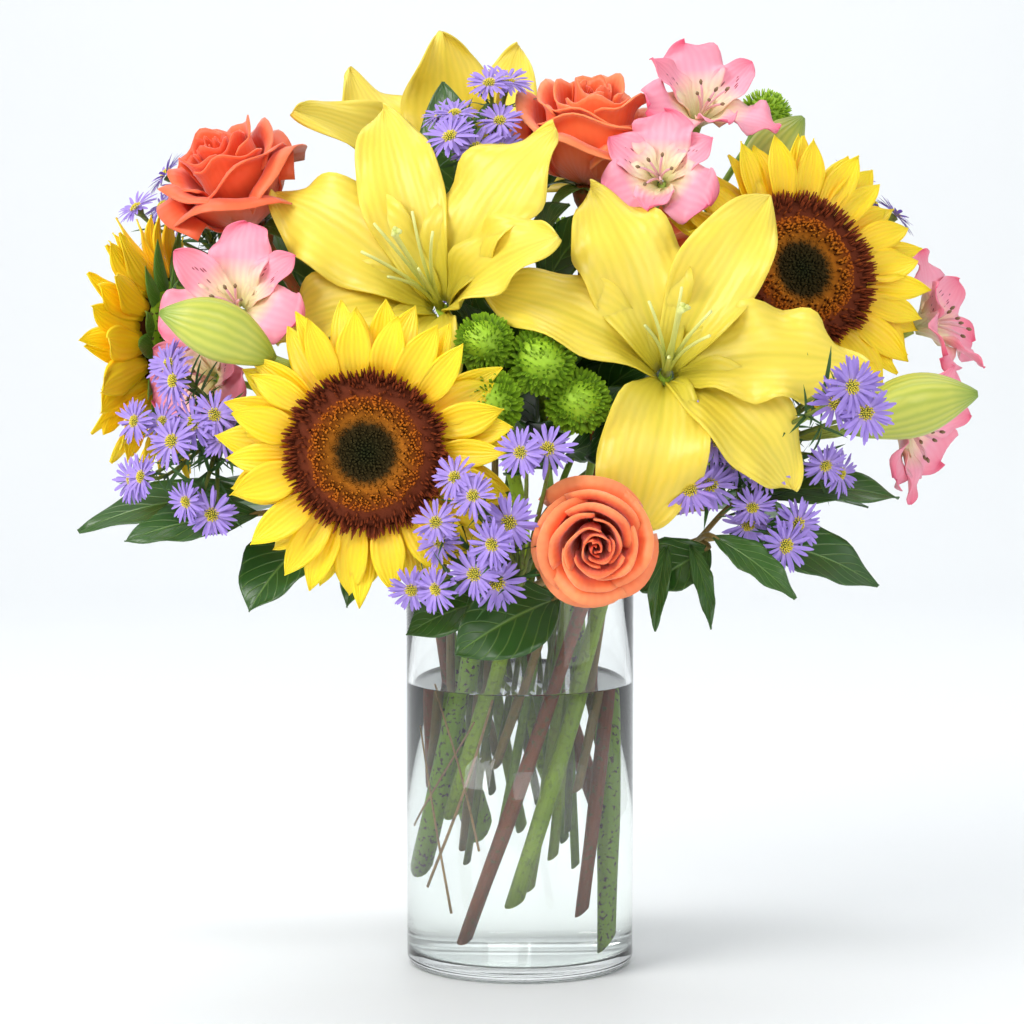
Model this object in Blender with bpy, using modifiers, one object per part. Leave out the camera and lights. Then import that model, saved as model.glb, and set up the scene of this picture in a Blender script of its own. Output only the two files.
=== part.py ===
"""A hand-tied bunch of sunflowers, lilies, roses, alstroemeria, asters and pompons in a glass vase.

Metres, +Z up, -Y is the front. The origin is the middle of the vase's foot, on the table.
Every stem stands in the water as one straight line of a spiral, so that no stem crosses another,
and bends above the rim to the back of its own flower.
"""

import math

import bmesh
import bpy
from mathutils import Matrix, Vector

MM = 0.001
GAP = 0.3 * MM

# The vase: a plain straight cylinder of blown glass
VASE_RADIUS = 52.5 * MM
VASE_WALL = 2.8 * MM
VASE_FLOOR = 7 * MM
VASE_HEIGHT = 180 * MM
VASE_FOOT_ROUND = 5 * MM
WATER_HEIGHT = 131 * MM

# The spiral that the stems stand in: two nested rings of slots at the rim, turned as they go down
RIM_PLANE = 178 * MM
FOOT_PLANE = 12 * MM
THICK_RING = 42.3 * MM
THIN_RING = 23.5 * MM
THICK_TWIST = math.radians(-84)
THIN_TWIST = math.radians(-80)
THICK_TURN = math.radians(-12)
THIN_TURN = math.radians(-22)

UP = Vector((0, 0, 1))

# name: (centre in mm, the way that it faces, petal circle radius in mm)
SUNFLOWERS = {
    "sunflower_front": ((-65, -127, 247), (-0.10, -0.98, -0.04), 66),
    "sunflower_left": ((-158, -14, 288), (-0.90, 0.34, -0.06), 66),
    "sunflower_right": ((123, -52, 321), (0.38, -0.84, 0.30), 66),
}
# name: (centre, facing, tepals as (angle, length, rise at the tip))
LILIES = {
    "lily_left": ((-44, -90, 322), (-0.30, -0.76, 0.52), (
        (8, 78, 10), (52, 96, -10), (112, 98, -10), (152, 96, -14), (196, 80, -30), (266, 64, -60))),
    "lily_right": ((65, -112, 292), (0.06, -0.86, 0.48), (
        (58, 92, -8), (112, 92, -20), (160, 92, -30), (260, 84, -80), (318, 84, -60),
        (356, 90, -30))),
    "lily_back": ((-30, 62, 370), (-0.05, 0.24, 0.97), (
        (12, 98, 4), (80, 88, 62), (136, 84, 30), (194, 96, 22), (244, 92, 44),
        (304, 90, 40))),
}
# name: (heel, tip, thickest radius, cut root of its stalk)
BUDS = {
    "lily_bud_left": ((-105, -118, 285), (-153, -128, 306), 12.5, (-62, -66, 236)),
    "lily_bud_right": ((141, -92, 254), (198, -98, 270), 13.5, (90, -56, 228)),
    "lily_bud_top": ((104, 26, 352), (131, 18, 392), 12, (66, 30, 300)),
}
# name: (centre, facing, bloom radius, bloom depth)
ROSES = {
    "rose_left": ((-130, -30, 362), (-0.45, -0.35, 0.82), 29, 46),
    "rose_top": ((31, -27, 384), (0.06, -0.30, 0.95), 29, 48),
    "rose_front": ((31, -142, 210), (0.02, -0.985, -0.10), 27, 42),
    "rose_back": ((72, 98, 322), (0.42, 0.70, 0.58), 28, 44),
}
# name: (centre, facing, tepal length)
ALSTROEMERIAS = {
    "alstroemeria_left": ((-126, -84, 312), (-0.20, -0.86, 0.46), 38),
    "alstroemeria_left_low": ((-145, -62, 276), (-0.60, -0.76, 0.10), 30),
    "alstroemeria_top": ((84, -24, 400), (0.22, -0.62, 0.75), 38),
    "alstroemeria_middle": ((60, -70, 368), (-0.16, -0.86, 0.48), 30),
    "alstroemeria_right": ((195, -8, 301), (0.86, -0.26, 0.36), 36),
    "alstroemeria_right_low": ((181, -44, 250), (0.80, -0.44, -0.30), 36),
    "alstroemeria_back": ((-104, 104, 330), (-0.52, 0.66, 0.54), 38),
}
# stem name: (where it forks, its blooms)
ALSTROEMERIA_STEMS = {
    "alstroemeria_stem_left": ((-92, -62, 256), ("alstroemeria_left", "alstroemeria_left_low")),
    "alstroemeria_stem_top": ((56, -10, 338), ("alstroemeria_top", "alstroemeria_middle")),
    "alstroemeria_stem_right": ((132, -14, 256), ("alstroemeria_right", "alstroemeria_right_low")),
    "alstroemeria_stem_back": ((-70, 66, 276), ("alstroemeria_back",)),
}
# name: (middle of the spray, the way it faces, where it forks, bloom places across, up and forward)
ASTERS = {
    "asters_left_low": ((-152, -106, 250), (-0.5, -0.86, 0.05), (-127, -63, 247),
                        ((-18, 8), (0, 26), (20, 12), (2, 0), (-16, -16), (6, -26))),
    "asters_centre_low": ((-18, -156, 214), (-0.05, -0.97, -0.1), (0, -126, 190),
                          ((18, 35), (-2, 16), (-18, 4), (6, -4), (-18, -24), (-2, -18))),
    "asters_right_low": ((98, -108, 226), (0.2, -0.95, -0.15), (89, -64, 233),
                         ((-26, 4), (-14, 24), (4, -6), (18, -22), (8, 14), (36, 12),
                          (40, 44, 34), (32, 56, 38))),
    "asters_top": ((-20, -56, 390), (-0.1, -0.7, 0.7), (-15, -24, 358),
                   ((-10, -12), (-10, 6), (10, 4), (4, 22))),
    "asters_left_top": ((-168, 20, 356), (-0.62, -0.3, 0.7), (-135, 36, 319),
                        ((-16, 14), (0, 22), (16, 8), (-14, -8))),
    "asters_right_top": ((172, 24, 350), (0.66, -0.2, 0.7), (132, 24, 316),
                         ((-18, 18), (0, 22), (14, 8), (-2, -4))),
    "asters_back_left": ((-40, 142, 290), (-0.3, 0.86, 0.4), (-24, 97, 269),
                         ((-24, 0), (-8, 20), (10, 4), (24, 16), (0, -18))),
    "asters_back_right": ((136, 90, 286), (0.66, 0.66, 0.34), (86, 86, 262),
                          ((-20, 6), (0, 20), (16, 2), (0, -16))),
}
ASTER_RADIUS = 12.5 * MM
# name: (fork, (bloom centre, bloom radius) ...)
POMPONS = {
    "pompons_front": ((10, -52, 262), (
        ((-16, -108, 293), 14), ((9, -106, 285), 16.5), ((-14, -122, 267), 16),
        ((25, -102, 267), 15.5))),
    "pompon_top": ((84, 40, 340), (((116, 50, 394), 14),)),
    "pompons_back": ((0, 74, 266), (((20, 128, 332), 16), ((48, 138, 296), 15))),
}
# name: (end of the twig, leaves as (base, tip, width, the way that the blade faces))
FOLIAGE = {
    "foliage_left": ((-100, -56, 216), (
        ((-118, -62, 222), (-196, -62, 211), 26, (0, -0.5, 0.87)),
        ((-116, -76, 216), (-172, -92, 207), 24, (0.1, -0.75, 0.65)),
        ((-90, -66, 206), (-118, -92, 176), 40, (-0.5, -0.7, 0.5)),
        ((-104, -44, 219), (-164, -18, 224), 30, (-0.3, 0.2, 0.9)))),
    "foliage_front": ((4, -78, 184), (
        ((16, -98, 181), (-28, -116, 160), 38, (0.1, -0.8, 0.55)),
        ((-12, -90, 180), (-50, -100, 168), 26, (-0.2, -0.7, 0.6)))),
    "foliage_right": ((78, -76, 204), (
        ((82, -92, 202), (54, -104, 184), 30, (0, -0.7, 0.7)),
        ((84, -100, 208), (118, -116, 184), 17, (0.3, -0.8, 0.5)),
        ((92, -76, 206), (160, -66, 184), 32, (0.2, -0.6, 0.75)),
        ((98, -68, 222), (166, -74, 226), 28, (0.1, -0.5, 0.8)))),
    "foliage_top": ((-12, -12, 340), (
        ((-24, -8, 346), (-38, -8, 406), 34, (-0.25, -0.95, 0.1)),
        ((6, -30, 330), (20, -54, 352), 24, (-0.2, -0.75, 0.6)),
        ((-4, -2, 350), (22, 4, 404), 28, (0, 0.9, 0.2)))),
    "foliage_back_left": ((-70, 70, 204), (
        ((-84, 76, 206), (-158, 84, 202), 34, (0, 0.4, 0.9)),
        ((-78, 88, 204), (-104, 150, 190), 36, (-0.2, 0.4, 0.9)),
        ((-74, 84, 214), (-146, 126, 250), 34, (-0.4, 0.5, 0.7)),
        ((-56, 86, 210), (-28, 156, 214), 34, (0.1, 0.3, 0.95)))),
    "foliage_back_right": ((74, 66, 204), (
        ((88, 62, 208), (164, 44, 212), 32, (0.2, 0.1, 0.95)),
        ((88, 74, 206), (150, 108, 190), 36, (0.2, 0.3, 0.9)),
        ((78, 82, 212), (104, 148, 238), 34, (0.3, 0.5, 0.8)),
        ((60, 84, 206), (44, 156, 196), 34, (0.1, 0.3, 0.95)))),
}

# What each stem is at the rim: its radius in mm and where its cut foot ends above the table
THICK_STEMS = {
    "sunflower_front": (4.6, 46), "sunflower_left": (4.4, 60), "sunflower_right": (4.8, 14),
    "lily_left": (3.4, 74), "lily_right": (3.6, 36), "lily_back": (3.4, 66),
    "rose_left": (2.9, 80), "rose_top": (3.0, 30), "rose_front": (3.1, 18), "rose_back": (2.9, 58),
    "foliage_left": (2.0, 92), "foliage_front": (2.0, 96), "foliage_right": (2.0, 84),
    "foliage_back_left": (2.0, 88), "foliage_back_right": (2.0, 90),
}
THIN_STEMS = {
    "alstroemeria_stem_left": (2.0, 70), "alstroemeria_stem_top": (2.0, 40),
    "alstroemeria_stem_right": (2.0, 54), "alstroemeria_stem_back": (2.0, 62),
    "asters_left_low": (1.4, 96), "asters_centre_low": (1.4, 104), "asters_right_low": (1.4, 88),
    "asters_top": (1.4, 50), "asters_left_top": (1.4, 76),
    "asters_right_top": (1.4, 64), "asters_back_left": (1.4, 72), "asters_back_right": (1.4, 84),
    "pompons_front": (1.8, 60), "pompon_top": (1.6, 48), "pompons_back": (1.7, 58),
    "foliage_top": (1.8, 56),
}

COLOURS = {
    "glass": ((0.92, 0.97, 0.96), 0.02), "water": ((0.95, 0.97, 0.93), 0.02),
    "ray_yellow": ((0.93, 0.68, 0.02), 0.5), "disc_brown": ((0.12, 0.035, 0.01), 0.8),
    "lily_yellow": ((0.90, 0.78, 0.20), 0.45), "stamen": ((0.80, 0.82, 0.20), 0.5),
    "bud_green": ((0.55, 0.62, 0.14), 0.5), "rose_orange": ((0.92, 0.22, 0.06), 0.5),
    "alstroemeria_pink": ((0.90, 0.50, 0.54), 0.5), "aster_violet": ((0.42, 0.32, 0.76), 0.6),
    "pompon_green": ((0.27, 0.50, 0.05), 0.6), "leaf_green": ((0.07, 0.16, 0.03), 0.4),
    "stem_green": ((0.22, 0.36, 0.08), 0.5),
}


def clear_scene():
    for obj in list(bpy.data.objects):
        bpy.data.objects.remove(obj)
    bouquet = bpy.data.collections.new("flowers_in_vase")
    bpy.context.scene.collection.children.link(bouquet)
    return bouquet


def finish_of(name):
    """The named Principled material, made on first use."""
    found = bpy.data.materials.get(name)
    if found:
        return found
    colour, roughness = COLOURS[name]
    made = bpy.data.materials.new(name)
    made.use_nodes = True
    shader = made.node_tree.nodes["Principled BSDF"]
    shader.inputs["Base Color"].default_value = (*colour, 1)
    shader.inputs["Roughness"].default_value = roughness
    if name in ("glass", "water"):
        shader.inputs["Transmission Weight"].default_value = 1
    return made


def mm(point):
    return Vector(point) * MM


def facing_frame(centre, facing):
    """A matrix at centre whose Z is the facing direction and whose Y leans to world up."""
    z = Vector(facing).normalized()
    y = (UP - z * UP.dot(z)).normalized()
    x = y.cross(z)
    turn = Matrix((x, y, z)).transposed().to_4x4()
    return Matrix.Translation(centre) @ turn


def add_mesh(name, bm, finish, matrix=None):
    """Puts a bmesh in the scene as a named object. It is smooth, with the faceted edges kept sharp."""
    bmesh.ops.recalc_face_normals(bm, faces=bm.faces)
    mesh = bpy.data.meshes.new(name)
    bm.to_mesh(mesh)
    bm.free()
    if matrix is not None:
        mesh.transform(matrix)
    mesh.shade_smooth()
    mesh.set_sharp_from_angle(angle=math.radians(50))
    mesh.materials.append(finish_of(finish))
    obj = bpy.data.objects.new(name, mesh)
    bouquet.objects.link(obj)
    return obj


def baked(obj):
    """Replaces an object that has modifiers, or is a curve, by its evaluated mesh with the caps welded."""
    graph = bpy.context.evaluated_depsgraph_get()
    graph.update()
    mesh = bpy.data.meshes.new_from_object(obj.evaluated_get(graph))
    mesh.transform(obj.matrix_world)
    bm = bmesh.new()
    bm.from_mesh(mesh)
    bpy.data.meshes.remove(mesh)
    bmesh.ops.remove_doubles(bm, verts=bm.verts, dist=0.01 * MM)
    name, finish = obj.name, obj.data.materials[0].name
    bpy.data.objects.remove(obj)
    return add_mesh(name, bm, finish)


def boolean(obj, others, operation):
    """Joins or cuts obj with the other meshes, which are used up."""
    for other in others:
        step = obj.modifiers.new(operation.lower(), "BOOLEAN")
        step.operation = operation
        step.object = other
    whole = baked(obj)
    for other in others:
        bpy.data.objects.remove(other)
    return whole


def turned(name, profile, finish, matrix, steps):
    """A solid of revolution. The profile is (radius, height) from its bottom middle to its top middle."""
    bm = bmesh.new()
    points = [bm.verts.new((radius, 0, height)) for radius, height in reversed(profile)]
    for a, b in zip(points, points[1:]):
        bm.edges.new((a, b))
    mesh = bpy.data.meshes.new(name)
    bm.to_mesh(mesh)
    bm.free()
    obj = bpy.data.objects.new(name, mesh)
    mesh.materials.append(finish_of(finish))
    bouquet.objects.link(obj)
    screw = obj.modifiers.new("turn", "SCREW")
    screw.steps = screw.render_steps = steps
    screw.use_merge_vertices = True
    screw.merge_threshold = 0.00001
    solid = baked(obj)
    solid.data.transform(matrix)
    return solid


def tube(name, points, radii, finish, sides=8):
    """A round stem along the points, with a radius at each."""
    curve = bpy.data.curves.new(name, "CURVE")
    curve.dimensions = "3D"
    curve.bevel_depth = 1.0
    curve.bevel_resolution = (sides - 4) // 2
    curve.use_fill_caps = True
    spline = curve.splines.new("POLY")
    spline.points.add(len(points) - 1)
    for place, point, radius in zip(spline.points, points, radii):
        place.co = (*point, 1)
        place.radius = radius
    curve.materials.append(finish_of(finish))
    obj = bpy.data.objects.new(name, curve)
    bouquet.objects.link(obj)
    return baked(obj)


def hermite(start, start_way, end, end_way, count):
    """Points on a smooth curve from start to end that leaves and arrives along the two ways."""
    reach = (end - start).length
    a, b = start_way.normalized() * reach, end_way.normalized() * reach
    points = []
    for i in range(count + 1):
        t = i / count
        t2, t3 = t * t, t * t * t
        points.append(start * (2 * t3 - 3 * t2 + 1) + a * (t3 - 2 * t2 + t)
                      + end * (3 * t2 - 2 * t3) + b * (t3 - t2))
    return points


def slots(stems, heads, ring, twist, turn):
    """Gives each stem a straight line in the vase: evenly round the ring, in the order of its flower."""
    order = sorted(stems, key=lambda name: math.atan2(heads[name].y, heads[name].x))
    start = math.atan2(heads[order[0]].y, heads[order[0]].x) + turn
    lines = {}
    for index, name in enumerate(order):
        angle = start + 2 * math.pi * index / len(order)
        top = Vector((math.cos(angle) * ring, math.sin(angle) * ring, RIM_PLANE))
        low = angle + twist
        bottom = Vector((math.cos(low) * ring, math.sin(low) * ring, FOOT_PLANE))
        share = (stems[name][1] * MM - FOOT_PLANE) / (RIM_PLANE - FOOT_PLANE)
        lines[name] = (bottom.lerp(top, share), top)
    return lines


def stem_route(name, end, way, count=6):
    """The cut foot, the rim and the bend up to end, arriving along way."""
    foot, top = lines[name]
    return [foot] + hermite(top, (top - foot) * 0.8, end, way, count)


def stem(name, end, way, finish="stem_green", label=None, tip_share=0.8, count=6):
    radius = (THICK_STEMS.get(name) or THIN_STEMS[name])[0] * MM
    points = stem_route(name, end, way, count)
    radii = [radius * (1 - (1 - tip_share) * i / (len(points) - 1)) for i in range(len(points))]
    sides = 8 if radius > 3 * MM else 6
    return tube(label or name + "_stem", points, radii, finish, sides)


def blossom_sheet(name, petals, hub_radius, hub_drop, rows, finish, matrix, thickness):
    """Petals that share one small hub, as a single closed sheet. No petal reaches into its neighbour.

    A petal is (angle, length, half width, rise at the base, rise at the tip, tip width share).
    """
    bm = bmesh.new()
    petals = sorted(petals)
    half = thickness / 2
    angles = [petal[0] for petal in petals]
    halves = [((b - a) % 360) / 2 for a, b in zip(angles, angles[1:] + angles[:1])]
    middles = [hub_pair(bm, a, hub_radius, hub_drop, half) for a in angles]
    corners = [hub_pair(bm, a + h, hub_radius, hub_drop, half) for a, h in zip(angles, halves)]
    around = [pair for both in zip(middles, corners) for pair in both]
    centre = hub_pair(bm, 0, 0, hub_drop, half)
    for a, b in zip(around, around[1:] + around[:1]):
        two_faces(bm, centre, a, b)
    rim = []
    for i, petal in enumerate(petals):
        before = [corners[i - 1], middles[i], corners[i]]
        lefts, rights = [before[0]], []
        spread = (halves[i - 1], halves[i])
        for places, offset in petal_rows(petal, spread, hub_radius, hub_drop, rows, half):
            after = [(bm.verts.new(p + offset), bm.verts.new(p - offset)) for p in places]
            for k in range(2):
                two_faces(bm, before[k], after[k], after[k + 1], before[k + 1])
            lefts.append(after[0])
            rights.insert(0, after[2])
            before = after
        rim += lefts + [before[1]] + rights
    for a, b in zip(rim, rim[1:] + rim[:1]):
        bm.faces.new((a[0], a[1], b[1], b[0]))
    return add_mesh(name, bm, finish, matrix)


def hub_pair(bm, angle, radius, height, half):
    """The upper and the lower point of the hub's sheet at one angle."""
    a = math.radians(angle)
    x, y = math.cos(a) * radius, math.sin(a) * radius
    return bm.verts.new((x, y, height + half)), bm.verts.new((x, y, height - half))


def two_faces(bm, *pairs):
    """A face of a sheet on both of its sides."""
    bm.faces.new([pair[0] for pair in pairs])
    bm.faces.new([pair[1] for pair in reversed(pairs)])


def petal_rows(petal, spread, hub_radius, hub_drop, rows, half):
    """Each row of one petal, from its base to its tip, as (left, middle and right point, offset).

    spread is how far the petal may turn to its left and to its right before its neighbour begins.
    """
    angle, length, half_width, rise_base, rise_tip, tip_share = petal
    a = math.radians(angle)
    out = Vector((math.cos(a), math.sin(a), 0))
    side = Vector((math.sin(a), -math.cos(a), 0))
    place = out * hub_radius + UP * hub_drop
    found = []
    for row in range(1, rows + 1):
        t = row / rows
        rise = math.radians(rise_base + (rise_tip - rise_base) * (t - 0.5 / rows))
        lean = math.radians(rise_base + (rise_tip - rise_base) * t)
        place = place + (out * math.cos(rise) + UP * math.sin(rise)) * (length / rows)
        width = half_width * (math.sin(math.pi * min(0.35 + 0.6 * t, 0.9)) if t < 1 else tip_share)
        reach = place.dot(out)
        low, high = (min(width, reach * math.tan(math.radians(min(turn, 70))) - 1.2 * half)
                     for turn in spread)
        lift = UP * width * 0.18
        offset = (UP * math.cos(lean) - out * math.sin(lean)) * half
        found.append(((place + side * low + lift, place, place - side * high + lift), offset))
    return found


def make_vase():
    outer, inner = VASE_RADIUS, VASE_RADIUS - VASE_WALL
    foot = VASE_FOOT_ROUND
    round_in = foot * (1 - math.cos(math.radians(45)))
    profile = [
        (0, 0), (outer - foot, 0), (outer - round_in, round_in), (outer, foot),
        (outer, VASE_HEIGHT - 1 * MM), (outer - VASE_WALL / 2, VASE_HEIGHT),
        (inner, VASE_HEIGHT - 1 * MM), (inner, VASE_FLOOR + 3 * MM),
        (inner - 3 * MM, VASE_FLOOR), (0, VASE_FLOOR),
    ]
    turned("vase", profile, "glass", Matrix.Identity(4), 32)


def make_water():
    """The water fills the vase to its line and stands clear of each stem by a small gap."""
    radius = VASE_RADIUS - VASE_WALL - GAP
    low = VASE_FLOOR + GAP
    profile = [(0, low), (radius - 3 * MM, low), (radius, low + 3 * MM), (radius, WATER_HEIGHT),
               (0, WATER_HEIGHT)]
    water = turned("water", profile, "water", Matrix.Identity(4), 32)
    cutters = []
    for name, (foot, top) in lines.items():
        radius = (THICK_STEMS.get(name) or THIN_STEMS[name])[0] * MM
        down = (foot - top).normalized()
        ends = [foot + down * GAP * 2, top]
        sides = 8 if radius > 3 * MM else 6
        cutters.append(tube("cut_" + name, ends, [radius + 2.5 * GAP] * 2, "water", sides))
    boolean(water, cutters, "DIFFERENCE")


def make_sunflower(name, centre, facing, radius):
    frame = facing_frame(mm(centre), facing)
    disc = 33 * MM
    turned(name + "_disc", [(0, 1.5 * MM), (disc * 0.93, 1.5 * MM), (disc, 4.5 * MM),
                            (disc * 0.8, 10 * MM), (0, 8 * MM)],
           "disc_brown", frame, 18)
    count = 14
    hub = disc * 1.03
    rays = [(360 * i / count, radius * MM - hub, 9.5 * MM, 10 + 8 * (i % 2), -6 + 10 * (i % 3), 0.25)
            for i in range(count)]
    blossom_sheet(name + "_rays", rays, hub, 0.2 * MM, 2, "ray_yellow", frame, 1.4 * MM)
    way = frame.to_3x3() @ UP
    end = mm(centre) - way * 14 * MM
    neck = stem(name, end, way, label=name + "_stem")
    cup = turned("cup", [(0, -17 * MM), (5 * MM, -16 * MM), (24 * MM, -5 * MM), (27 * MM, -1.2 * MM),
                         (0, -1.2 * MM)], "stem_green", frame, 12)
    boolean(neck, [cup], "UNION")


def make_lily(name, centre, facing, tepal_rows):
    frame = facing_frame(mm(centre), facing)
    tepals = []
    for i, (angle, length, rise_tip) in enumerate(tepal_rows):
        wide = 20 if i % 2 else 16
        tepals.append((angle, length * MM, wide * MM, 62, rise_tip, 0.15))
    blossom_sheet(name + "_tepals", tepals, 5 * MM, -30 * MM, 4, "lily_yellow", frame, 1.4 * MM)
    way = frame.to_3x3() @ UP
    heart = mm(centre) - way * 29 * MM
    pistil = tube(name + "_stamens", [heart + way * 0.4 * MM, heart + way * 30 * MM,
                                      heart + way * 62 * MM], [2 * MM, 1.2 * MM, 1.8 * MM],
                  "stamen", 6)
    filaments = []
    for i in range(6):
        a = math.radians(60 * i + 20)
        lean = frame.to_3x3() @ Vector((math.cos(a), math.sin(a), 0))
        ends = [heart + way * 2 * MM, heart + way * 28 * MM + lean * 7 * MM,
                heart + way * 52 * MM + lean * 17 * MM]
        filaments.append(tube("filament", ends, [0.9 * MM, 0.8 * MM, 0.8 * MM], "stamen", 4))
    boolean(pistil, filaments, "UNION")
    stem(name, mm(centre) - way * 31.9 * MM, way)


def make_bud(name, heel, tip, thick, root):
    """A closed lily bud on its own short stalk, which ends cut among the stems above the rim."""
    heel, tip = mm(heel), mm(tip)
    way = (tip - heel).normalized()
    length = (tip - heel).length
    frame = facing_frame(heel, way)
    shape = [(0, 0), (0.30, 0.02), (0.62, 0.15), (0.92, 0.40), (1.0, 0.62), (0.72, 0.84), (0.30, 0.97),
             (0, 1)]
    bud = turned(name, [(r * thick * MM, h * length) for r, h in shape], "bud_green", frame, 10)
    points = hermite(mm(root), UP, heel + way * 2 * MM, way, 4)
    stalk = tube("stalk", points, [2.2 * MM, 2 * MM, 2 * MM, 2 * MM, 2 * MM], "stem_green", 6)
    boolean(bud, [stalk], "UNION")


def make_rose(name, centre, facing, radius, depth):
    """A cupped bloom on a hip with its green collar."""
    frame = facing_frame(mm(centre), facing)
    low, high = -depth * MM / 2, depth * MM / 2
    r = radius * MM
    profile = [(0, low), (r * 0.34, low + 0.4 * MM), (r * 0.80, low + 0.22 * depth * MM),
               (r * 0.90, low + 0.55 * depth * MM), (r, high - 5 * MM), (r * 0.62, high - 1 * MM),
               (0, high - 2 * MM)]
    turned(name + "_bloom", profile, "rose_orange", frame, 12)
    way = frame.to_3x3() @ UP
    neck = stem(name, mm(centre) + way * (low - 8 * MM), way)
    hip = turned("hip", [(0, low - 12 * MM), (3 * MM, low - 11 * MM), (5.5 * MM, low - 5 * MM),
                         (4.6 * MM, low - GAP), (0, low - GAP)], "stem_green", frame, 8)
    boolean(neck, [hip], "UNION")


def make_alstroemeria(name, centre, facing, length):
    frame = facing_frame(mm(centre), facing)
    tepals = []
    for i in range(6):
        wide = 11 if i % 2 else 8
        tepals.append((60 * i + 30, length * MM, wide * MM, 52, 18 - 10 * (i % 2), 0.55))
    blossom_sheet(name, tepals, 2.5 * MM, -16 * MM, 2, "alstroemeria_pink", frame, 1.3 * MM)


def make_alstroemeria_stem(name, fork, blooms):
    fork = mm(fork)
    ways = []
    for bloom in blooms:
        centre, facing, _ = ALSTROEMERIAS[bloom]
        ways.append((mm(centre) - Vector(facing).normalized() * 18 * MM, Vector(facing)))
    main_way = fork - lines[name][1]
    main = stem(name, fork, main_way, label=name, count=4)
    arms = [knot(fork, 2.8 * MM, "stem_green")]
    for end, way in ways:
        points = hermite(fork - main_way.normalized() * 2 * MM, main_way, end, way, 4)
        arms.append(tube("arm", points, [1.5 * MM] * 4 + [1.9 * MM], "stem_green", 6))
    boolean(main, arms, "UNION")


def make_asters(name, centre, facing, fork, places):
    """A spray of small daisies on thin twigs from one fork."""
    frame = facing_frame(mm(centre), facing)
    turn = frame.to_3x3()
    fork = mm(fork)
    main = stem(name, fork, fork - lines[name][1], label=name, tip_share=0.9, count=4)
    twigs = [knot(fork, 2.4 * MM, "aster_violet")]
    for i, place in enumerate(places):
        across, up, forward = (*place, -3 * (i % 3))[:3]
        face = frame @ mm((across, up, forward))
        way = ((face - fork).normalized() * 0.5 + (turn @ UP)).normalized()
        twigs.append(aster_bloom(fork, face, way))
    boolean(main, twigs, "UNION")


def aster_bloom(fork, face, way):
    """One twig that opens into a shallow daisy."""
    base = face - way * 6 * MM
    twig = tube("twig", [fork - way * 1 * MM, base], [1.0 * MM, 1.0 * MM], "aster_violet", 4)
    frame = facing_frame(face, way)
    head = turned("daisy", [(0, -7.5 * MM), (ASTER_RADIUS, -0.6 * MM), (0, 1.6 * MM)],
                  "aster_violet", frame, 7)
    return boolean(twig, [head], "UNION")


def make_pompons(name, fork, blooms):
    fork = mm(fork)
    main_way = fork - lines[name][1]
    main = stem(name, fork, main_way, label=name, tip_share=0.9, count=4)
    parts = [knot(fork, 2.8 * MM, "pompon_green")]
    for centre, radius in blooms:
        centre = mm(centre)
        way = (centre - fork).normalized()
        points = hermite(fork - way * 1 * MM, main_way, centre - way * radius * MM * 0.5, way, 3)
        parts.append(tube("twig", points, [1.4 * MM] * 4, "pompon_green", 6))
        r = radius * MM
        profile = [(0, -0.62 * r), (0.75 * r, -0.45 * r), (r, 0.1 * r), (0.6 * r, 0.68 * r), (0, 0.8 * r)]
        parts.append(turned("pompon", profile, "pompon_green", facing_frame(centre, way), 9))
    boolean(main, parts, "UNION")


def make_foliage(name, twig_end, leaves):
    twig_end = mm(twig_end)
    main = stem(name, twig_end, twig_end - lines[name][1], label=name, count=4)
    parts = [knot(twig_end, 3 * MM, "leaf_green")]
    for base, tip, width, facing in leaves:
        base, tip = mm(base), mm(tip)
        lead = base - twig_end
        points = hermite(twig_end - lead.normalized() * 1 * MM, lead, base + (tip - base) * 0.05,
                         tip - base, 2)
        parts.append(tube("petiole", points, [1.3 * MM] * 3, "leaf_green", 4))
        parts.append(leaf_blade(base, tip, width * MM, Vector(facing)))
    boolean(main, parts, "UNION")


def knot(place, radius, finish):
    """The swelling where twigs part."""
    profile = [(0, -radius), (radius * 0.8, -radius * 0.6), (radius * 0.8, radius * 0.6), (0, radius)]
    return turned("knot", profile, finish, Matrix.Translation(place), 5)


def leaf_blade(base, tip, width, facing):
    """A pointed oval blade, folded a little along its midrib and drooping to its tip."""
    along = tip - base
    length = along.length
    out = along.normalized()
    normal = (facing - out * facing.dot(out)).normalized()
    side = out.cross(normal)
    bm = bmesh.new()
    before = None
    rows = 4
    for row in range(rows + 1):
        t = row / rows
        half = width / 2 * (0.12 + 0.88 * math.sin(math.pi * t ** 0.8)) if row < rows else 0.8 * MM
        droop = normal * length * 0.10 * math.sin(math.pi * t) ** 2
        place = base + along * t + droop
        lift = normal * half * 0.22
        after = [bm.verts.new(place + side * half * k + lift * abs(k)) for k in (-1, 0, 1)]
        if before:
            for k in range(2):
                bm.faces.new((before[k], before[k + 1], after[k + 1], after[k]))
        before = after
    obj = add_mesh("blade", bm, "leaf_green")
    solid = obj.modifiers.new("thickness", "SOLIDIFY")
    solid.thickness = 1.1 * MM
    solid.offset = 0
    return baked(obj)


bouquet = clear_scene()
heads = {name: mm(row[0]) for table in (SUNFLOWERS, LILIES, ROSES, ASTERS, POMPONS, FOLIAGE,
                                        ALSTROEMERIA_STEMS) for name, row in table.items()}
lines = slots(THICK_STEMS, heads, THICK_RING, THICK_TWIST, THICK_TURN)
lines.update(slots(THIN_STEMS, heads, THIN_RING, THIN_TWIST, THIN_TURN))

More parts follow.
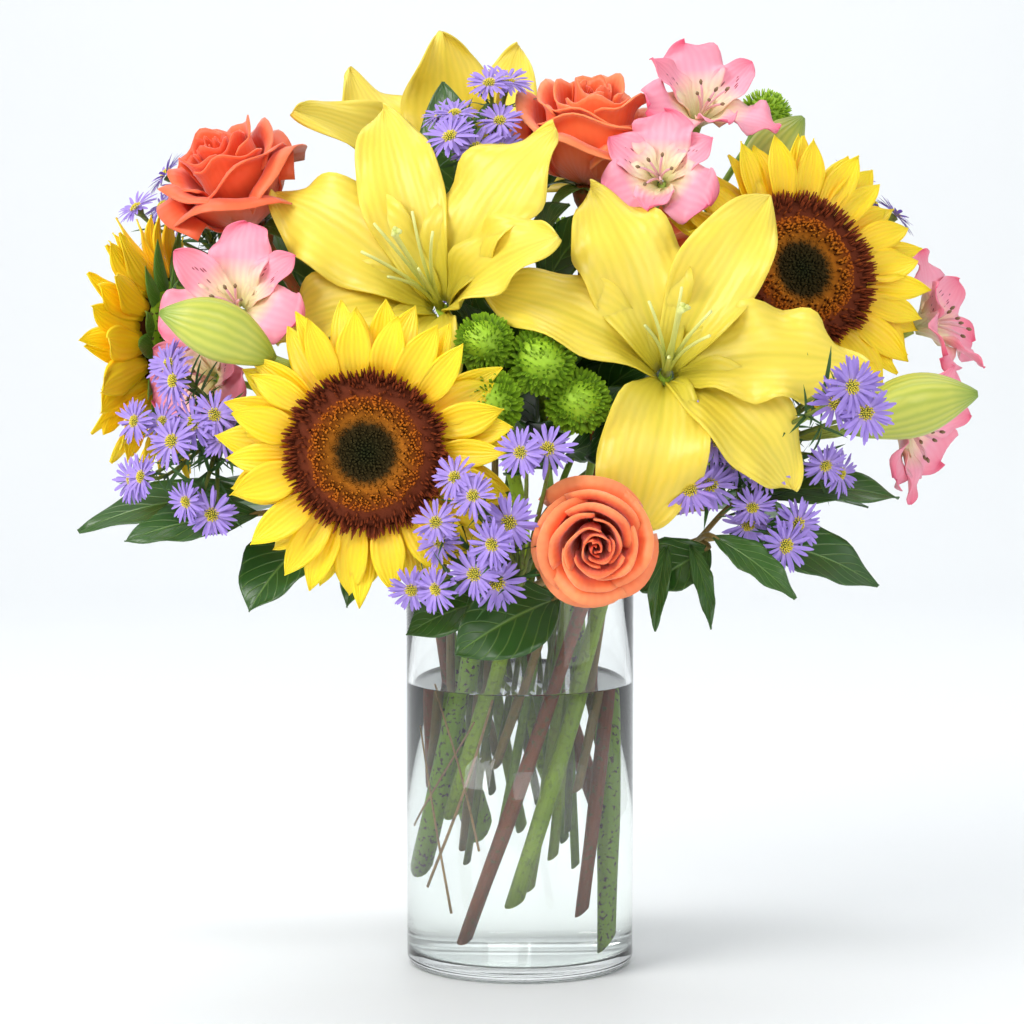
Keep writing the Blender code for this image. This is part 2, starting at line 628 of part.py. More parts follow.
make_vase()
make_water()
for name, row in SUNFLOWERS.items():
    make_sunflower(name, *row)
for name, row in LILIES.items():
    make_lily(name, *row)
for name, row in BUDS.items():
    make_bud(name, *row)
for name, row in ROSES.items():
    make_rose(name, *row)
for name, row in ALSTROEMERIAS.items():
    make_alstroemeria(name, *row)
for name, row in ALSTROEMERIA_STEMS.items():
    make_alstroemeria_stem(name, *row)
for name, row in ASTERS.items():
    make_asters(name, *row)
for name, row in POMPONS.items():
    make_pompons(name, *row)
for name, row in FOLIAGE.items():
    make_foliage(name, *row)
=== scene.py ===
"""A bunch of sunflowers, lilies, roses, alstroemeria, asters and pompons, standing in a glass vase.

Metres, +Z up, -Y is the front, and the origin is the middle of the vase's foot on the table.
"""

import math
import random

import bpy
import numpy as np
from bpy.props import FloatProperty, FloatVectorProperty, IntProperty, PointerProperty
from mathutils import Matrix, Vector


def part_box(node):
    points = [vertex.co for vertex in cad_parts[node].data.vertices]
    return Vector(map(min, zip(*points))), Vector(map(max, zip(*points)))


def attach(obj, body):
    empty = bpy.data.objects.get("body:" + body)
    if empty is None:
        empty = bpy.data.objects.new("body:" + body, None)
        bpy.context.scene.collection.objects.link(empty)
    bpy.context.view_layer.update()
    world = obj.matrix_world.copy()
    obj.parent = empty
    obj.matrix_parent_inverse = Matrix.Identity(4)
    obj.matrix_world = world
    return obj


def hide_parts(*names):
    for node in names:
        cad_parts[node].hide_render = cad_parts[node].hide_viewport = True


bl_info = {
    "name": "Flowers in a Glass Vase",
    "version": (1, 0, 0),
    "blender": (4, 5, 0),
    "location": "3D View > Sidebar > Bouquet",
    "description": "Builds a bunch of cut flowers in a glass vase round its exact part",
    "category": "Add Mesh",
}

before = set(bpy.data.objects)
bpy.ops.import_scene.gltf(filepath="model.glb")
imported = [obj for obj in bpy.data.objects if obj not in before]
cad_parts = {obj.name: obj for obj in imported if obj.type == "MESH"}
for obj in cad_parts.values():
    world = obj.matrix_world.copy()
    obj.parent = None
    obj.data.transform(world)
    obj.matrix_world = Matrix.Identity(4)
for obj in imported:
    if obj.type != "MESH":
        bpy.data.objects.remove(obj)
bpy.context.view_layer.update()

MM = 0.001
UP = Vector((0, 0, 1))
GOLDEN_ANGLE = math.pi * (3 - math.sqrt(5))
GOLDEN_DEGREES = 137.5

# The stage: the camera's place to the side, what the lights are turned to, and the wall's own light
CAMERA_SIDE = -3.68 * MM
BUNCH_MIDDLE = (0, 0, 0.27)
WALL_TARGET = (0, 1.9, 0.6)
WALL_POWER = 34

# The vase and the water, from the exact part
FOOT_CORNER, VASE_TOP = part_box("vase")
VASE_RADIUS = VASE_TOP.x
VASE_HEIGHT = VASE_TOP.z
VASE_WALL = 2.8 * MM
VASE_FLOOR = 7 * MM
WATER_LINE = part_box("water")[1].z

# The spiral that the stems stand in: two nested rings of slots at the rim, turned as they go down
RIM_PLANE = 178 * MM
FOOT_PLANE = 12 * MM
THICK_RING = 42.3 * MM
THIN_RING = 23.5 * MM
THICK_TWIST = math.radians(-84)
THIN_TWIST = math.radians(-80)
THICK_TURN = math.radians(-12)
THIN_TURN = math.radians(-22)

# Places in mm, as in the exact part
# name: (centre, the way that it faces, petal circle radius, how far its petals lean forward)
SUNFLOWERS = {
    "sunflower_front": ((-65, -127, 247), (-0.10, -0.98, -0.04), 66, 0),
    "sunflower_left": ((-158, -14, 288), (-0.90, 0.34, -0.06), 66, 24),
    "sunflower_right": ((123, -52, 321), (0.38, -0.84, 0.30), 66, 6),
}
DISC_RADIUS = 33 * MM
# name: (centre, facing, tepals as (angle, length, rise at the tip))
LILIES = {
    "lily_left": ((-44, -90, 322), (-0.30, -0.76, 0.52), (
        (8, 78, 10), (52, 96, -10), (112, 98, -10), (152, 96, -14), (196, 80, -30), (266, 64, -60))),
    "lily_right": ((65, -112, 292), (0.06, -0.86, 0.48), (
        (58, 92, -8), (112, 92, -20), (160, 92, -30), (260, 84, -80), (318, 84, -60),
        (356, 90, -30))),
    "lily_back": ((-30, 62, 370), (-0.05, 0.24, 0.97), (
        (12, 98, 4), (80, 88, 62), (136, 84, 30), (194, 96, 22), (244, 92, 44),
        (304, 90, 40))),
}
# name: for each tepal, its turn about its own length, how much higher its tip rises, and its stretch
TEPAL_TURNS = {
    "lily_back": ((-60, 6, 1.24), (0, 4, 1.04), (35, 12, 1.0), (50, 30, 1.0), (15, 34, 1.14),
                  (-15, 22, 1.1)),
}
# name: (heel, tip, thickest radius, cut root of its stalk)
BUDS = {
    "lily_bud_left": ((-105, -118, 285), (-153, -128, 306), 12.5, (-62, -66, 236)),
    "lily_bud_right": ((141, -92, 254), (198, -98, 270), 13.5, (90, -56, 228)),
    "lily_bud_top": ((104, 26, 352), (131, 18, 392), 12, (66, 30, 300)),
}
# name: (centre, facing, bloom radius, bloom depth, how much redder its petals are, how open it is)
ROSES = {
    "rose_left": ((-130, -30, 362), (-0.45, -0.35, 0.82), 29, 46, 0.6, 1.0),
    "rose_top": ((31, -27, 384), (0.06, -0.30, 0.95), 29, 48, 0.1, 1.12),
    "rose_front": ((31, -142, 210), (0.02, -0.985, -0.10), 27, 42, 0.0, 0.86),
    "rose_back": ((72, 98, 322), (0.42, 0.70, 0.58), 28, 44, 0.2, 1.0),
}
# name: (centre, facing, tepal length)
ALSTROEMERIAS = {
    "alstroemeria_left": ((-126, -84, 312), (-0.20, -0.86, 0.46), 38),
    "alstroemeria_left_low": ((-145, -62, 276), (-0.60, -0.76, 0.10), 30),
    "alstroemeria_top": ((84, -24, 400), (0.22, -0.62, 0.75), 38),
    "alstroemeria_middle": ((60, -70, 368), (-0.16, -0.86, 0.48), 30),
    "alstroemeria_right": ((195, -8, 301), (0.86, -0.26, 0.36), 36),
    "alstroemeria_right_low": ((181, -44, 250), (0.80, -0.44, -0.30), 36),
    "alstroemeria_back": ((-104, 104, 330), (-0.52, 0.66, 0.54), 38),
}
# stem name: (where it forks, its blooms)
ALSTROEMERIA_STEMS = {
    "alstroemeria_stem_left": ((-92, -62, 256), ("alstroemeria_left", "alstroemeria_left_low")),
    "alstroemeria_stem_top": ((56, -10, 338), ("alstroemeria_top", "alstroemeria_middle")),
    "alstroemeria_stem_right": ((132, -14, 256), ("alstroemeria_right", "alstroemeria_right_low")),
    "alstroemeria_stem_back": ((-70, 66, 276), ("alstroemeria_back",)),
}
# name: (middle of the spray, the way it faces, where it forks, bloom places across, up and forward)
ASTERS = {
    "asters_left_low": ((-152, -106, 250), (-0.5, -0.86, 0.05), (-127, -63, 247),
                        ((-18, 8), (0, 26), (20, 12), (2, 0), (-16, -16), (6, -26))),
    "asters_centre_low": ((-18, -156, 214), (-0.05, -0.97, -0.1), (0, -126, 190),
                          ((18, 35), (-2, 16), (-18, 4), (6, -4), (-18, -24), (-2, -18))),
    "asters_right_low": ((98, -108, 226), (0.2, -0.95, -0.15), (89, -64, 233),
                         ((-26, 4), (-14, 24), (4, -6), (18, -22), (8, 14), (36, 12),
                          (40, 44, 34), (32, 56, 38))),
    "asters_top": ((-20, -56, 390), (-0.1, -0.7, 0.7), (-15, -24, 358),
                   ((-10, -12), (-10, 6), (10, 4), (4, 22))),
    "asters_left_top": ((-168, 20, 356), (-0.62, -0.3, 0.7), (-135, 36, 319),
                        ((-16, 14), (0, 22), (16, 8), (-14, -8))),
    "asters_right_top": ((172, 24, 350), (0.66, -0.2, 0.7), (132, 24, 316),
                         ((-18, 18), (0, 22), (14, 8), (-2, -4))),
    "asters_back_left": ((-40, 142, 290), (-0.3, 0.86, 0.4), (-24, 97, 269),
                         ((-24, 0), (-8, 20), (10, 4), (24, 16), (0, -18))),
    "asters_back_right": ((136, 90, 286), (0.66, 0.66, 0.34), (86, 86, 262),
                          ((-20, 6), (0, 20), (16, 2), (0, -16))),
}
# name: (fork, (bloom centre, bloom radius) ...)
POMPONS = {
    "pompons_front": ((10, -52, 262), (
        ((-16, -108, 293), 14), ((9, -106, 285), 16.5), ((-14, -122, 267), 16),
        ((25, -102, 267), 15.5))),
    "pompon_top": ((84, 40, 340), (((116, 50, 394), 14),)),
    "pompons_back": ((0, 74, 266), (((20, 128, 332), 16), ((48, 138, 296), 15))),
}
# name: (end of the twig, leaves as (base, tip, width, the way that the blade faces))
FOLIAGE = {
    "foliage_left": ((-100, -56, 216), (
        ((-118, -62, 222), (-196, -62, 211), 26, (0, -0.5, 0.87)),
        ((-116, -76, 216), (-172, -92, 207), 24, (0.1, -0.75, 0.65)),
        ((-90, -66, 206), (-118, -92, 176), 40, (-0.5, -0.7, 0.5)),
        ((-104, -44, 219), (-164, -18, 224), 30, (-0.3, 0.2, 0.9)))),
    "foliage_front": ((4, -78, 184), (
        ((16, -98, 181), (-28, -116, 160), 38, (0.1, -0.8, 0.55)),
        ((-12, -90, 180), (-50, -100, 168), 26, (-0.2, -0.7, 0.6)))),
    "foliage_right": ((78, -76, 204), (
        ((82, -92, 202), (54, -104, 184), 30, (0, -0.7, 0.7)),
        ((84, -100, 208), (118, -116, 184), 17, (0.3, -0.8, 0.5)),
        ((92, -76, 206), (160, -66, 184), 32, (0.2, -0.6, 0.75)),
        ((98, -68, 222), (166, -74, 226), 28, (0.1, -0.5, 0.8)))),
    "foliage_top": ((-12, -12, 340), (
        ((-24, -8, 346), (-38, -8, 406), 34, (-0.25, -0.95, 0.1)),
        ((6, -30, 330), (20, -54, 352), 24, (-0.2, -0.75, 0.6)),
        ((-4, -2, 350), (22, 4, 404), 28, (0, 0.9, 0.2)))),
    "foliage_back_left": ((-70, 70, 204), (
        ((-84, 76, 206), (-158, 84, 202), 34, (0, 0.4, 0.9)),
        ((-78, 88, 204), (-104, 150, 190), 36, (-0.2, 0.4, 0.9)),
        ((-74, 84, 214), (-146, 126, 250), 34, (-0.4, 0.5, 0.7)),
        ((-56, 86, 210), (-28, 156, 214), 34, (0.1, 0.3, 0.95)))),
    "foliage_back_right": ((74, 66, 204), (
        ((88, 62, 208), (164, 44, 212), 32, (0.2, 0.1, 0.95)),
        ((88, 74, 206), (150, 108, 190), 36, (0.2, 0.3, 0.9)),
        ((78, 82, 212), (104, 148, 238), 34, (0.3, 0.5, 0.8)),
        ((60, 84, 206), (44, 156, 196), 34, (0.1, 0.3, 0.95)))),
}
# Leaves that close the gaps between the flowers: (base, tip, width, the way that the blade faces)
GAP_LEAVES = (
    ((-70, 18, 296), (-106, 26, 348), 36, (-0.2, -0.9, 0.3)),
    ((-84, 34, 292), (-132, 52, 350), 34, (-0.3, -0.8, 0.4)),
    ((-52, 8, 300), (-80, 12, 356), 32, (-0.1, -0.95, 0.2)),
    ((104, 26, 284), (146, 38, 346), 36, (0.2, -0.9, 0.3)),
    ((116, 34, 276), (172, 44, 318), 32, (0.3, -0.8, 0.5)),
    ((72, 14, 300), (110, 22, 352), 32, (0.1, -0.9, 0.3)),
    ((10, -38, 312), (34, -66, 350), 26, (-0.1, -0.8, 0.6)),
    ((-16, 24, 330), (-14, 40, 404), 34, (0.0, -0.95, 0.2)),
    ((36, 20, 330), (62, 34, 384), 30, (0.1, -0.95, 0.2)),
    ((64, -92, 204), (56, -116, 170), 10, (-0.2, -0.9, 0.3)),
    ((74, -96, 204), (84, -122, 172), 9, (0.2, -0.9, 0.3)),
    ((-60, -64, 214), (-74, -94, 178), 22, (-0.2, -0.8, 0.5)),
)
# Loose twigs in the water: (one end, the other end, radius)
LOOSE_TWIGS = (
    ((-40, -24, 40), (-12, -44, 128), 0.8), ((-44, -10, 66), (-20, -42, 118), 0.6),
    ((-30, -36, 30), (-42, -16, 112), 0.7), ((-18, -44, 60), (-38, -28, 134), 0.6),
)
# What each stem is at the rim: its radius in mm and where its cut foot ends above the table
THICK_STEMS = {
    "sunflower_front": (4.6, 46), "sunflower_left": (4.4, 60), "sunflower_right": (4.8, 14),
    "lily_left": (3.4, 74), "lily_right": (3.6, 36), "lily_back": (3.4, 66),
    "rose_left": (2.9, 80), "rose_top": (3.0, 30), "rose_front": (3.1, 18), "rose_back": (2.9, 58),
    "foliage_left": (2.0, 92), "foliage_front": (2.0, 96), "foliage_right": (2.0, 84),
    "foliage_back_left": (2.0, 88), "foliage_back_right": (2.0, 90),
}
THIN_STEMS = {
    "alstroemeria_stem_left": (2.0, 70), "alstroemeria_stem_top": (2.0, 40),
    "alstroemeria_stem_right": (2.0, 54), "alstroemeria_stem_back": (2.0, 62),
    "asters_left_low": (1.4, 96), "asters_centre_low": (1.4, 104), "asters_right_low": (1.4, 88),
    "asters_top": (1.4, 50), "asters_left_top": (1.4, 76),
    "asters_right_top": (1.4, 64), "asters_back_left": (1.4, 72), "asters_back_right": (1.4, 84),
    "pompons_front": (1.8, 60), "pompon_top": (1.6, 48), "pompons_back": (1.7, 58),
    "foliage_top": (1.8, 56),
}


# ---------------------------------------------------------------- places and routes

def mm(point):
    return Vector(point) * MM


def outline_mm(outline):
    """The points of an outline that is given in mm, as (radius, height)."""
    return [(r * MM, z * MM) for r, z in outline]


def facing_frame(centre, facing):
    """A matrix at centre whose Z is the facing direction and whose Y leans to world up."""
    z = Vector(facing).normalized()
    y = (UP - z * UP.dot(z)).normalized()
    x = y.cross(z)
    turn = Matrix((x, y, z)).transposed().to_4x4()
    return Matrix.Translation(centre) @ turn


def hermite(start, start_way, end, end_way, count):
    """Points on a smooth curve from start to end that leaves and arrives along the two ways."""
    reach = (end - start).length
    a, b = start_way.normalized() * reach, end_way.normalized() * reach
    points = []
    for i in range(count + 1):
        t = i / count
        t2, t3 = t * t, t * t * t
        points.append(start * (2 * t3 - 3 * t2 + 1) + a * (t3 - 2 * t2 + t)
                      + end * (3 * t2 - 2 * t3) + b * (t3 - t2))
    return points


def slots(stems, heads, ring, twist, turn):
    """Gives each stem a straight line in the vase: evenly round the ring, in the order of its flower."""
    order = sorted(stems, key=lambda name: math.atan2(heads[name].y, heads[name].x))
    start = math.atan2(heads[order[0]].y, heads[order[0]].x) + turn
    found = {}
    for index, name in enumerate(order):
        angle = start + 2 * math.pi * index / len(order)
        top = Vector((math.cos(angle) * ring, math.sin(angle) * ring, RIM_PLANE))
        low = angle + twist
        bottom = Vector((math.cos(low) * ring, math.sin(low) * ring, FOOT_PLANE))
        share = (stems[name][1] * MM - FOOT_PLANE) / (RIM_PLANE - FOOT_PLANE)
        found[name] = (bottom.lerp(top, share), top)
    return found


heads = {name: mm(row[0]) for table in (SUNFLOWERS, LILIES, ROSES, ASTERS, POMPONS, FOLIAGE,
                                        ALSTROEMERIA_STEMS) for name, row in table.items()}
lines = slots(THICK_STEMS, heads, THICK_RING, THICK_TWIST, THICK_TURN)
lines.update(slots(THIN_STEMS, heads, THIN_RING, THIN_TWIST, THIN_TURN))


# ---------------------------------------------------------------- blades, rods and turned shapes

class Grower:
    """Gathers curved blades, round rods and turned shapes for one mesh.

    Each point carries its place: across or around first, then along, from the base to the tip.
    Each shape carries one tone from 0 to 1, which its finish reads for its own tint; on rose petals the tone
    is partly painted shade.
    """

    def __init__(self):
        self.points = []
        self.faces = []
        self.places = []
        self.tones = []
        self.count = 0

    def add(self, points, faces, places, tone):
        self.points.append(np.asarray(points, float))
        self.faces += [tuple(index + self.count for index in face) for face in faces]
        self.places.append(np.asarray(places, float))
        self.tones.append(np.full(len(points), tone))
        self.count += len(points)

    def blade(self, matrix, grid, tone=0.5):
        """A sheet over a grid of points whose rows run from the base to the tip."""
        rows, columns = grid.shape[:2]
        turn = np.array(matrix.to_3x3())
        points = grid.reshape(-1, 3) @ turn.T + np.array(matrix.translation)
        faces = [(r * columns + c, (r + 1) * columns + c, (r + 1) * columns + c + 1, r * columns + c + 1)
                 for r in range(rows - 1) for c in range(columns - 1)]
        across, along = np.meshgrid(np.linspace(0, 1, columns), np.linspace(0, 1, rows))
        self.add(points, faces, np.stack((across.ravel(), along.ravel()), 1), tone)

    def rod(self, points, radii, sides=12, slant=0.0, lobes=0, lobe_depth=0.0, tone=0.5):
        """A round closed rod along the points. Its first end may be cut aslant."""
        points = [Vector(point) for point in points]
        ways = [(b - a).normalized() for a, b in zip(points, points[1:])]
        ways = [ways[0]] + [(a + b).normalized() for a, b in zip(ways, ways[1:])] + [ways[-1]]
        side = ways[0].orthogonal().normalized()
        rings = []
        for index, (place, way, radius) in enumerate(zip(points, ways, radii)):
            side = (side - way * side.dot(way)).normalized()
            other = way.cross(side)
            for k in range(sides):
                a = 2 * math.pi * k / sides
                r = radius * (1 + lobe_depth * math.cos(lobes * a))
                tilt = way * radius * slant * math.cos(a) if index == 0 else Vector()
                rings.append(place + (side * math.cos(a) + other * math.sin(a)) * r + tilt)
        last = len(points) - 1
        faces = [(r * sides + k, r * sides + (k + 1) % sides, (r + 1) * sides + (k + 1) % sides,
                  (r + 1) * sides + k) for r in range(last) for k in range(sides)]
        foot, tip = len(rings), len(rings) + 1
        faces += [(foot, (k + 1) % sides, k) for k in range(sides)]
        faces += [(tip, last * sides + k, last * sides + (k + 1) % sides) for k in range(sides)]
        places = [(min(k, sides - k) * 2 / sides, r / last) for r in range(last + 1) for k in range(sides)]
        self.add(rings + [points[0], points[-1]], faces, places + [(0.5, -1), (0.5, 1)], tone)

    def turned(self, matrix, profile, steps=32, tone=0.5):
        """A closed solid of revolution from its bottom middle to its top middle, both on the axis."""
        inner = profile[1:-1]
        points = [matrix @ Vector((r * math.cos(2 * math.pi * k / steps),
                                   r * math.sin(2 * math.pi * k / steps), z))
                  for r, z in inner for k in range(steps)]
        faces = [(r * steps + k, r * steps + (k + 1) % steps, (r + 1) * steps + (k + 1) % steps,
                  (r + 1) * steps + k) for r in range(len(inner) - 1) for k in range(steps)]
        low, high = len(points), len(points) + 1
        top = (len(inner) - 1) * steps
        faces += [(low, (k + 1) % steps, k) for k in range(steps)]
        faces += [(high, top + k, top + (k + 1) % steps) for k in range(steps)]
        places = [(k / steps, r / (len(inner) - 1)) for r in range(len(inner)) for k in range(steps)]
        ends = [matrix @ Vector((0, 0, profile[0][1])), matrix @ Vector((0, 0, profile[-1][1]))]
        self.add(points + ends, faces, places + [(0.5, 0), (0.5, 1)], tone)

    def mesh(self, name):
        mesh = bpy.data.meshes.new(name)
        points = np.concatenate(self.points)
        mesh.from_pydata(points.tolist(), [], self.faces)
        corner = np.zeros(len(mesh.loops), np.int32)
        mesh.loops.foreach_get("vertex_index", corner)
        layer = mesh.uv_layers.new(name="place")
        layer.data.foreach_set("uv", np.concatenate(self.places)[corner].astype(np.float32).ravel())
        tone = mesh.attributes.new("tone", "FLOAT", "POINT")
        tone.data.foreach_set("value", np.concatenate(self.tones).astype(np.float32))
        mesh.shade_smooth()
        return mesh

    def piece(self, name, finish, thickness=0.0):
        """Makes the gathered shapes one object. A thickness turns its sheets into thin solids."""
        obj = place_object(name, self.mesh(name), finish)
        if thickness:
            wall = obj.modifiers.new("thickness", "SOLIDIFY")
            wall.thickness = thickness
            wall.offset = 0
        return obj


def place_object(name, mesh, finish):
    mesh.materials.clear()
    mesh.materials.append(finish)
    obj = bpy.data.objects.new(name, mesh)
    bpy.context.scene.collection.objects.link(obj)
    return obj


def hand_over(obj, slot, *nodes):
    """A finished piece rides on the body and stands for its nodes. Its slot is not used."""
    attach(obj, "root")
    if nodes:
        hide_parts(*nodes)
    return obj


def blade_grid(length, half_width, rise=(0, 0), bend=1.0, base=0.4, peak=0.5, point=1.0, cup=(0.3, 0.1),
               rib=0.0, ruffle=0.0, waves=3.0, phase=0.0, twist=0.0, sway=0.0, hub=0.0, drop=0.0,
               furrows=0.0, rows=14, columns=8):
    """A petal or leaf that leaves its hub along +X and faces +Z, as rows of points to its tip.

    rise is its slope in degrees at the base and at the tip, and cup is how far, in radians, its
    edges turn up at each. point sets its tip: 0.5 is round and 1 or more is pointed.
    """
    t = np.sin(np.linspace(0, 1, rows + 1) * math.pi / 2)
    slope = np.radians(rise[0] + (rise[1] - rise[0]) * t ** bend)
    step = np.diff(t, prepend=0) * length
    x = hub + np.cumsum(np.cos(slope) * step)
    z = drop + np.cumsum(np.sin(slope) * step)
    swell = base + (1 - base) * np.sin(np.clip(t / peak, 0, 1) * math.pi / 2)
    fall = np.clip((t - peak) / (1 - peak), 0, 1)
    width = np.maximum(half_width * swell * (1 - fall ** 2) ** point, 0.025 * half_width)
    s = np.linspace(-1, 1, columns + 1)
    bow = cup[0] + (cup[1] - cup[0]) * t
    bow = np.where(np.abs(bow) < 0.02, 0.02, bow)[:, None]
    lateral = width[:, None] * np.sin(s * bow) / bow
    lift = width[:, None] * (1 - np.cos(s * bow)) / bow
    lift -= rib * np.exp(-(s / 0.16) ** 2) * (1 - t[:, None] * 0.6)
    lift += furrows * np.cos(s * math.pi * 3.4) * np.sin(t[:, None] * math.pi)
    wave = np.sin(2 * math.pi * waves * t[:, None] + phase + s * 1.7)
    lift += ruffle * np.abs(s) ** 2.2 * wave * np.clip(t[:, None] * 3, 0, 1)
    turn = (twist * t)[:, None]
    lateral, lift = (lateral * np.cos(turn) - lift * np.sin(turn),
                     lateral * np.sin(turn) + lift * np.cos(turn))
    grid = np.empty((rows + 1, columns + 1, 3))
    grid[..., 0] = x[:, None] - np.sin(slope)[:, None] * lift
    grid[..., 1] = lateral + (sway * t ** 2)[:, None]
    grid[..., 2] = z[:, None] + np.cos(slope)[:, None] * lift
    return grid


def spin(degrees):
    return Matrix.Rotation(math.radians(degrees), 4, "Z")


# ---------------------------------------------------------------- node tools

def add_node(tree, kind, inputs=None, **settings):
    """Adds a node, with its settings and with each input linked to a socket or set to a value."""
    node = tree.nodes.new(kind)
    for key, value in settings.items():
        setattr(node, key, value)
    for key, value in (inputs or {}).items():
        if isinstance(value, bpy.types.NodeSocket):
            tree.links.new(value, node.inputs[key])
        else:
            node.inputs[key].default_value = value
    return node


def maths(tree, operation, a, b=0.0):
    return add_node(tree, "ShaderNodeMath", {0: a, 1: b}, operation=operation).outputs[0]


def lerp(tree, low, high, share):
    """A number that runs from low to high as share runs from 0 to 1."""
    span = maths(tree, "SUBTRACT", high, low)
    return maths(tree, "ADD", low, maths(tree, "MULTIPLY", span, share))


# ---------------------------------------------------------------- finishes

def new_finish(name, roughness, **values):
    """A Principled material. Returns it with its node tree and shader."""
    finish = bpy.data.materials.new(name)
    finish.use_nodes = True
    shader = finish.node_tree.nodes["Principled BSDF"]
    shader.inputs["Roughness"].default_value = roughness
    for key, value in values.items():
        shader.inputs[key.replace("_", " ")].default_value = value
    return finish, finish.node_tree, shader


def petal_body(shader, glow, colour):
    """Light soaks a little way into a petal and tints it."""
    shader.inputs["Subsurface Weight"].default_value = glow
    shader.inputs["Subsurface Radius"].default_value = colour
    shader.inputs["Subsurface Scale"].default_value = 2.5 * MM


def place_sockets(tree):
    """Where a point lies across its blade, from -1 to 1, along it, from 0 to 1, and its tone."""
    place = add_node(tree, "ShaderNodeUVMap", uv_map="place").outputs[0]
    parts = add_node(tree, "ShaderNodeSeparateXYZ", {0: place}).outputs
    across = maths(tree, "MULTIPLY_ADD", parts[0], 2.0)
    across.node.inputs[2].default_value = -1.0
    tone = add_node(tree, "ShaderNodeAttribute", attribute_name="tone").outputs["Fac"]
    return across, parts[1], tone


def ramp(tree, factor, stops):
    """Colours along a factor. stops holds (place, colour)."""
    node = add_node(tree, "ShaderNodeValToRGB", {0: factor})
    elements = node.color_ramp.elements
    while len(elements) < len(stops):
        elements.new(0.5)
    for element, (place, colour) in zip(elements, stops):
        element.position = place
        element.color = (*colour, 1)
    return node.outputs[0]


def tint(tree, factor, a, b):
    """Colour a with b laid over it by factor."""
    node = add_node(tree, "ShaderNodeMix", data_type="RGBA", blend_type="MIX")
    for index, value in ((0, factor), (6, a), (7, b)):
        if isinstance(value, bpy.types.NodeSocket):
            tree.links.new(value, node.inputs[index])
        else:
            node.inputs[index].default_value = value if index == 0 else (*value, 1)
    return node.outputs[2]


def mottle(tree, scale, detail=3.0):
    """Soft noise over the piece, in metres."""
    where = add_node(tree, "ShaderNodeTexCoord").outputs["Object"]
    noise = add_node(tree, "ShaderNodeTexNoise", {"Vector": where, "Scale": scale, "Detail": detail})
    return noise.outputs[0]


def veins(tree, across, along, count, waver):
    """Fine lines that run from the base of a blade to its tip, from 0 to 1."""
    bend = maths(tree, "MULTIPLY", mottle(tree, 160.0, 2.0), waver)
    phase = maths(tree, "ADD", maths(tree, "MULTIPLY", across, count * math.pi), bend)
    wave = maths(tree, "SINE", maths(tree, "ADD", phase, maths(tree, "MULTIPLY", along, 0.8)))
    return maths(tree, "MULTIPLY_ADD", wave, 0.5)


def raise_surface(tree, shader, height, depth):
    bump = add_node(tree, "ShaderNodeBump", {"Height": height, "Strength": 0.6, "Distance": depth})
    tree.links.new(bump.outputs[0], shader.inputs["Normal"])


def paint(tree, shader, colour):
    tree.links.new(colour, shader.inputs["Base Color"])


def around(centre, reach, value, tree):
    """1 where value is at centre, falling to 0 at reach from it."""
    away = maths(tree, "ABSOLUTE", maths(tree, "SUBTRACT", value, centre))
    node = add_node(tree, "ShaderNodeMapRange", {0: away, 1: 0.0, 2: reach, 3: 1.0, 4: 0.0})
    return node.outputs[0]


def ray_finish(colour):
    """Sunflower petals: orange at the base, lined from base to tip."""
    finish, tree, shader = new_finish("sunflower_petal", 0.48)
    across, along, tone = place_sockets(tree)
    deep = tuple(c * k for c, k in zip(colour, (0.96, 0.60, 0.5)))
    warm = tuple(c * k for c, k in zip(colour, (1.0, 0.86, 0.8)))
    base = ramp(tree, along, [(0.0, deep), (0.3, warm), (0.65, colour), (1.0, colour)])
    shade = tint(tree, maths(tree, "MULTIPLY", tone, 0.55), base, warm)
    lines = veins(tree, across, along, 7.0, 2.0)
    streaked = tint(tree, maths(tree, "MULTIPLY", lines, 0.22), shade, deep)
    paint(tree, shader, streaked)
    raise_surface(tree, shader, lines, 0.25 * MM)
    petal_body(shader, 0.40, (1.0, 0.55, 0.05))
    return finish


def disc_finish(colour):
    """The seed head: near black in the middle, a ring of orange tips, then dark red-brown."""
    finish, tree, shader = new_finish("sunflower_disc", 0.75, Specular_IOR_Level=0.12)
    _, along, tone = place_sockets(tree)
    ring = add_node(tree, "ShaderNodeAttribute", attribute_name="ring").outputs["Fac"]
    body = ramp(tree, ring, [(0.0, (0.008, 0.012, 0.003)), (0.38, (0.014, 0.010, 0.003)),
                             (0.50, (0.16, 0.045, 0.005)), (0.74, colour), (1.0, colour)])
    tips = ramp(tree, ring, [(0.0, (0.020, 0.028, 0.006)), (0.34, (0.05, 0.030, 0.005)),
                             (0.48, (0.62, 0.20, 0.010)), (0.70, (0.55, 0.13, 0.008)),
                             (0.78, (0.26, 0.045, 0.010)), (1.0, (0.30, 0.055, 0.014))])
    rise = add_node(tree, "ShaderNodeMapRange", {0: along, 1: 0.45, 2: 0.95}).outputs[0]
    coloured = tint(tree, rise, body, tips)
    darker = tint(tree, maths(tree, "MULTIPLY", tone, 0.5), coloured, (0.01, 0.006, 0.003))
    paint(tree, shader, darker)
    raise_surface(tree, shader, mottle(tree, 1800.0), 0.3 * MM)
    return finish


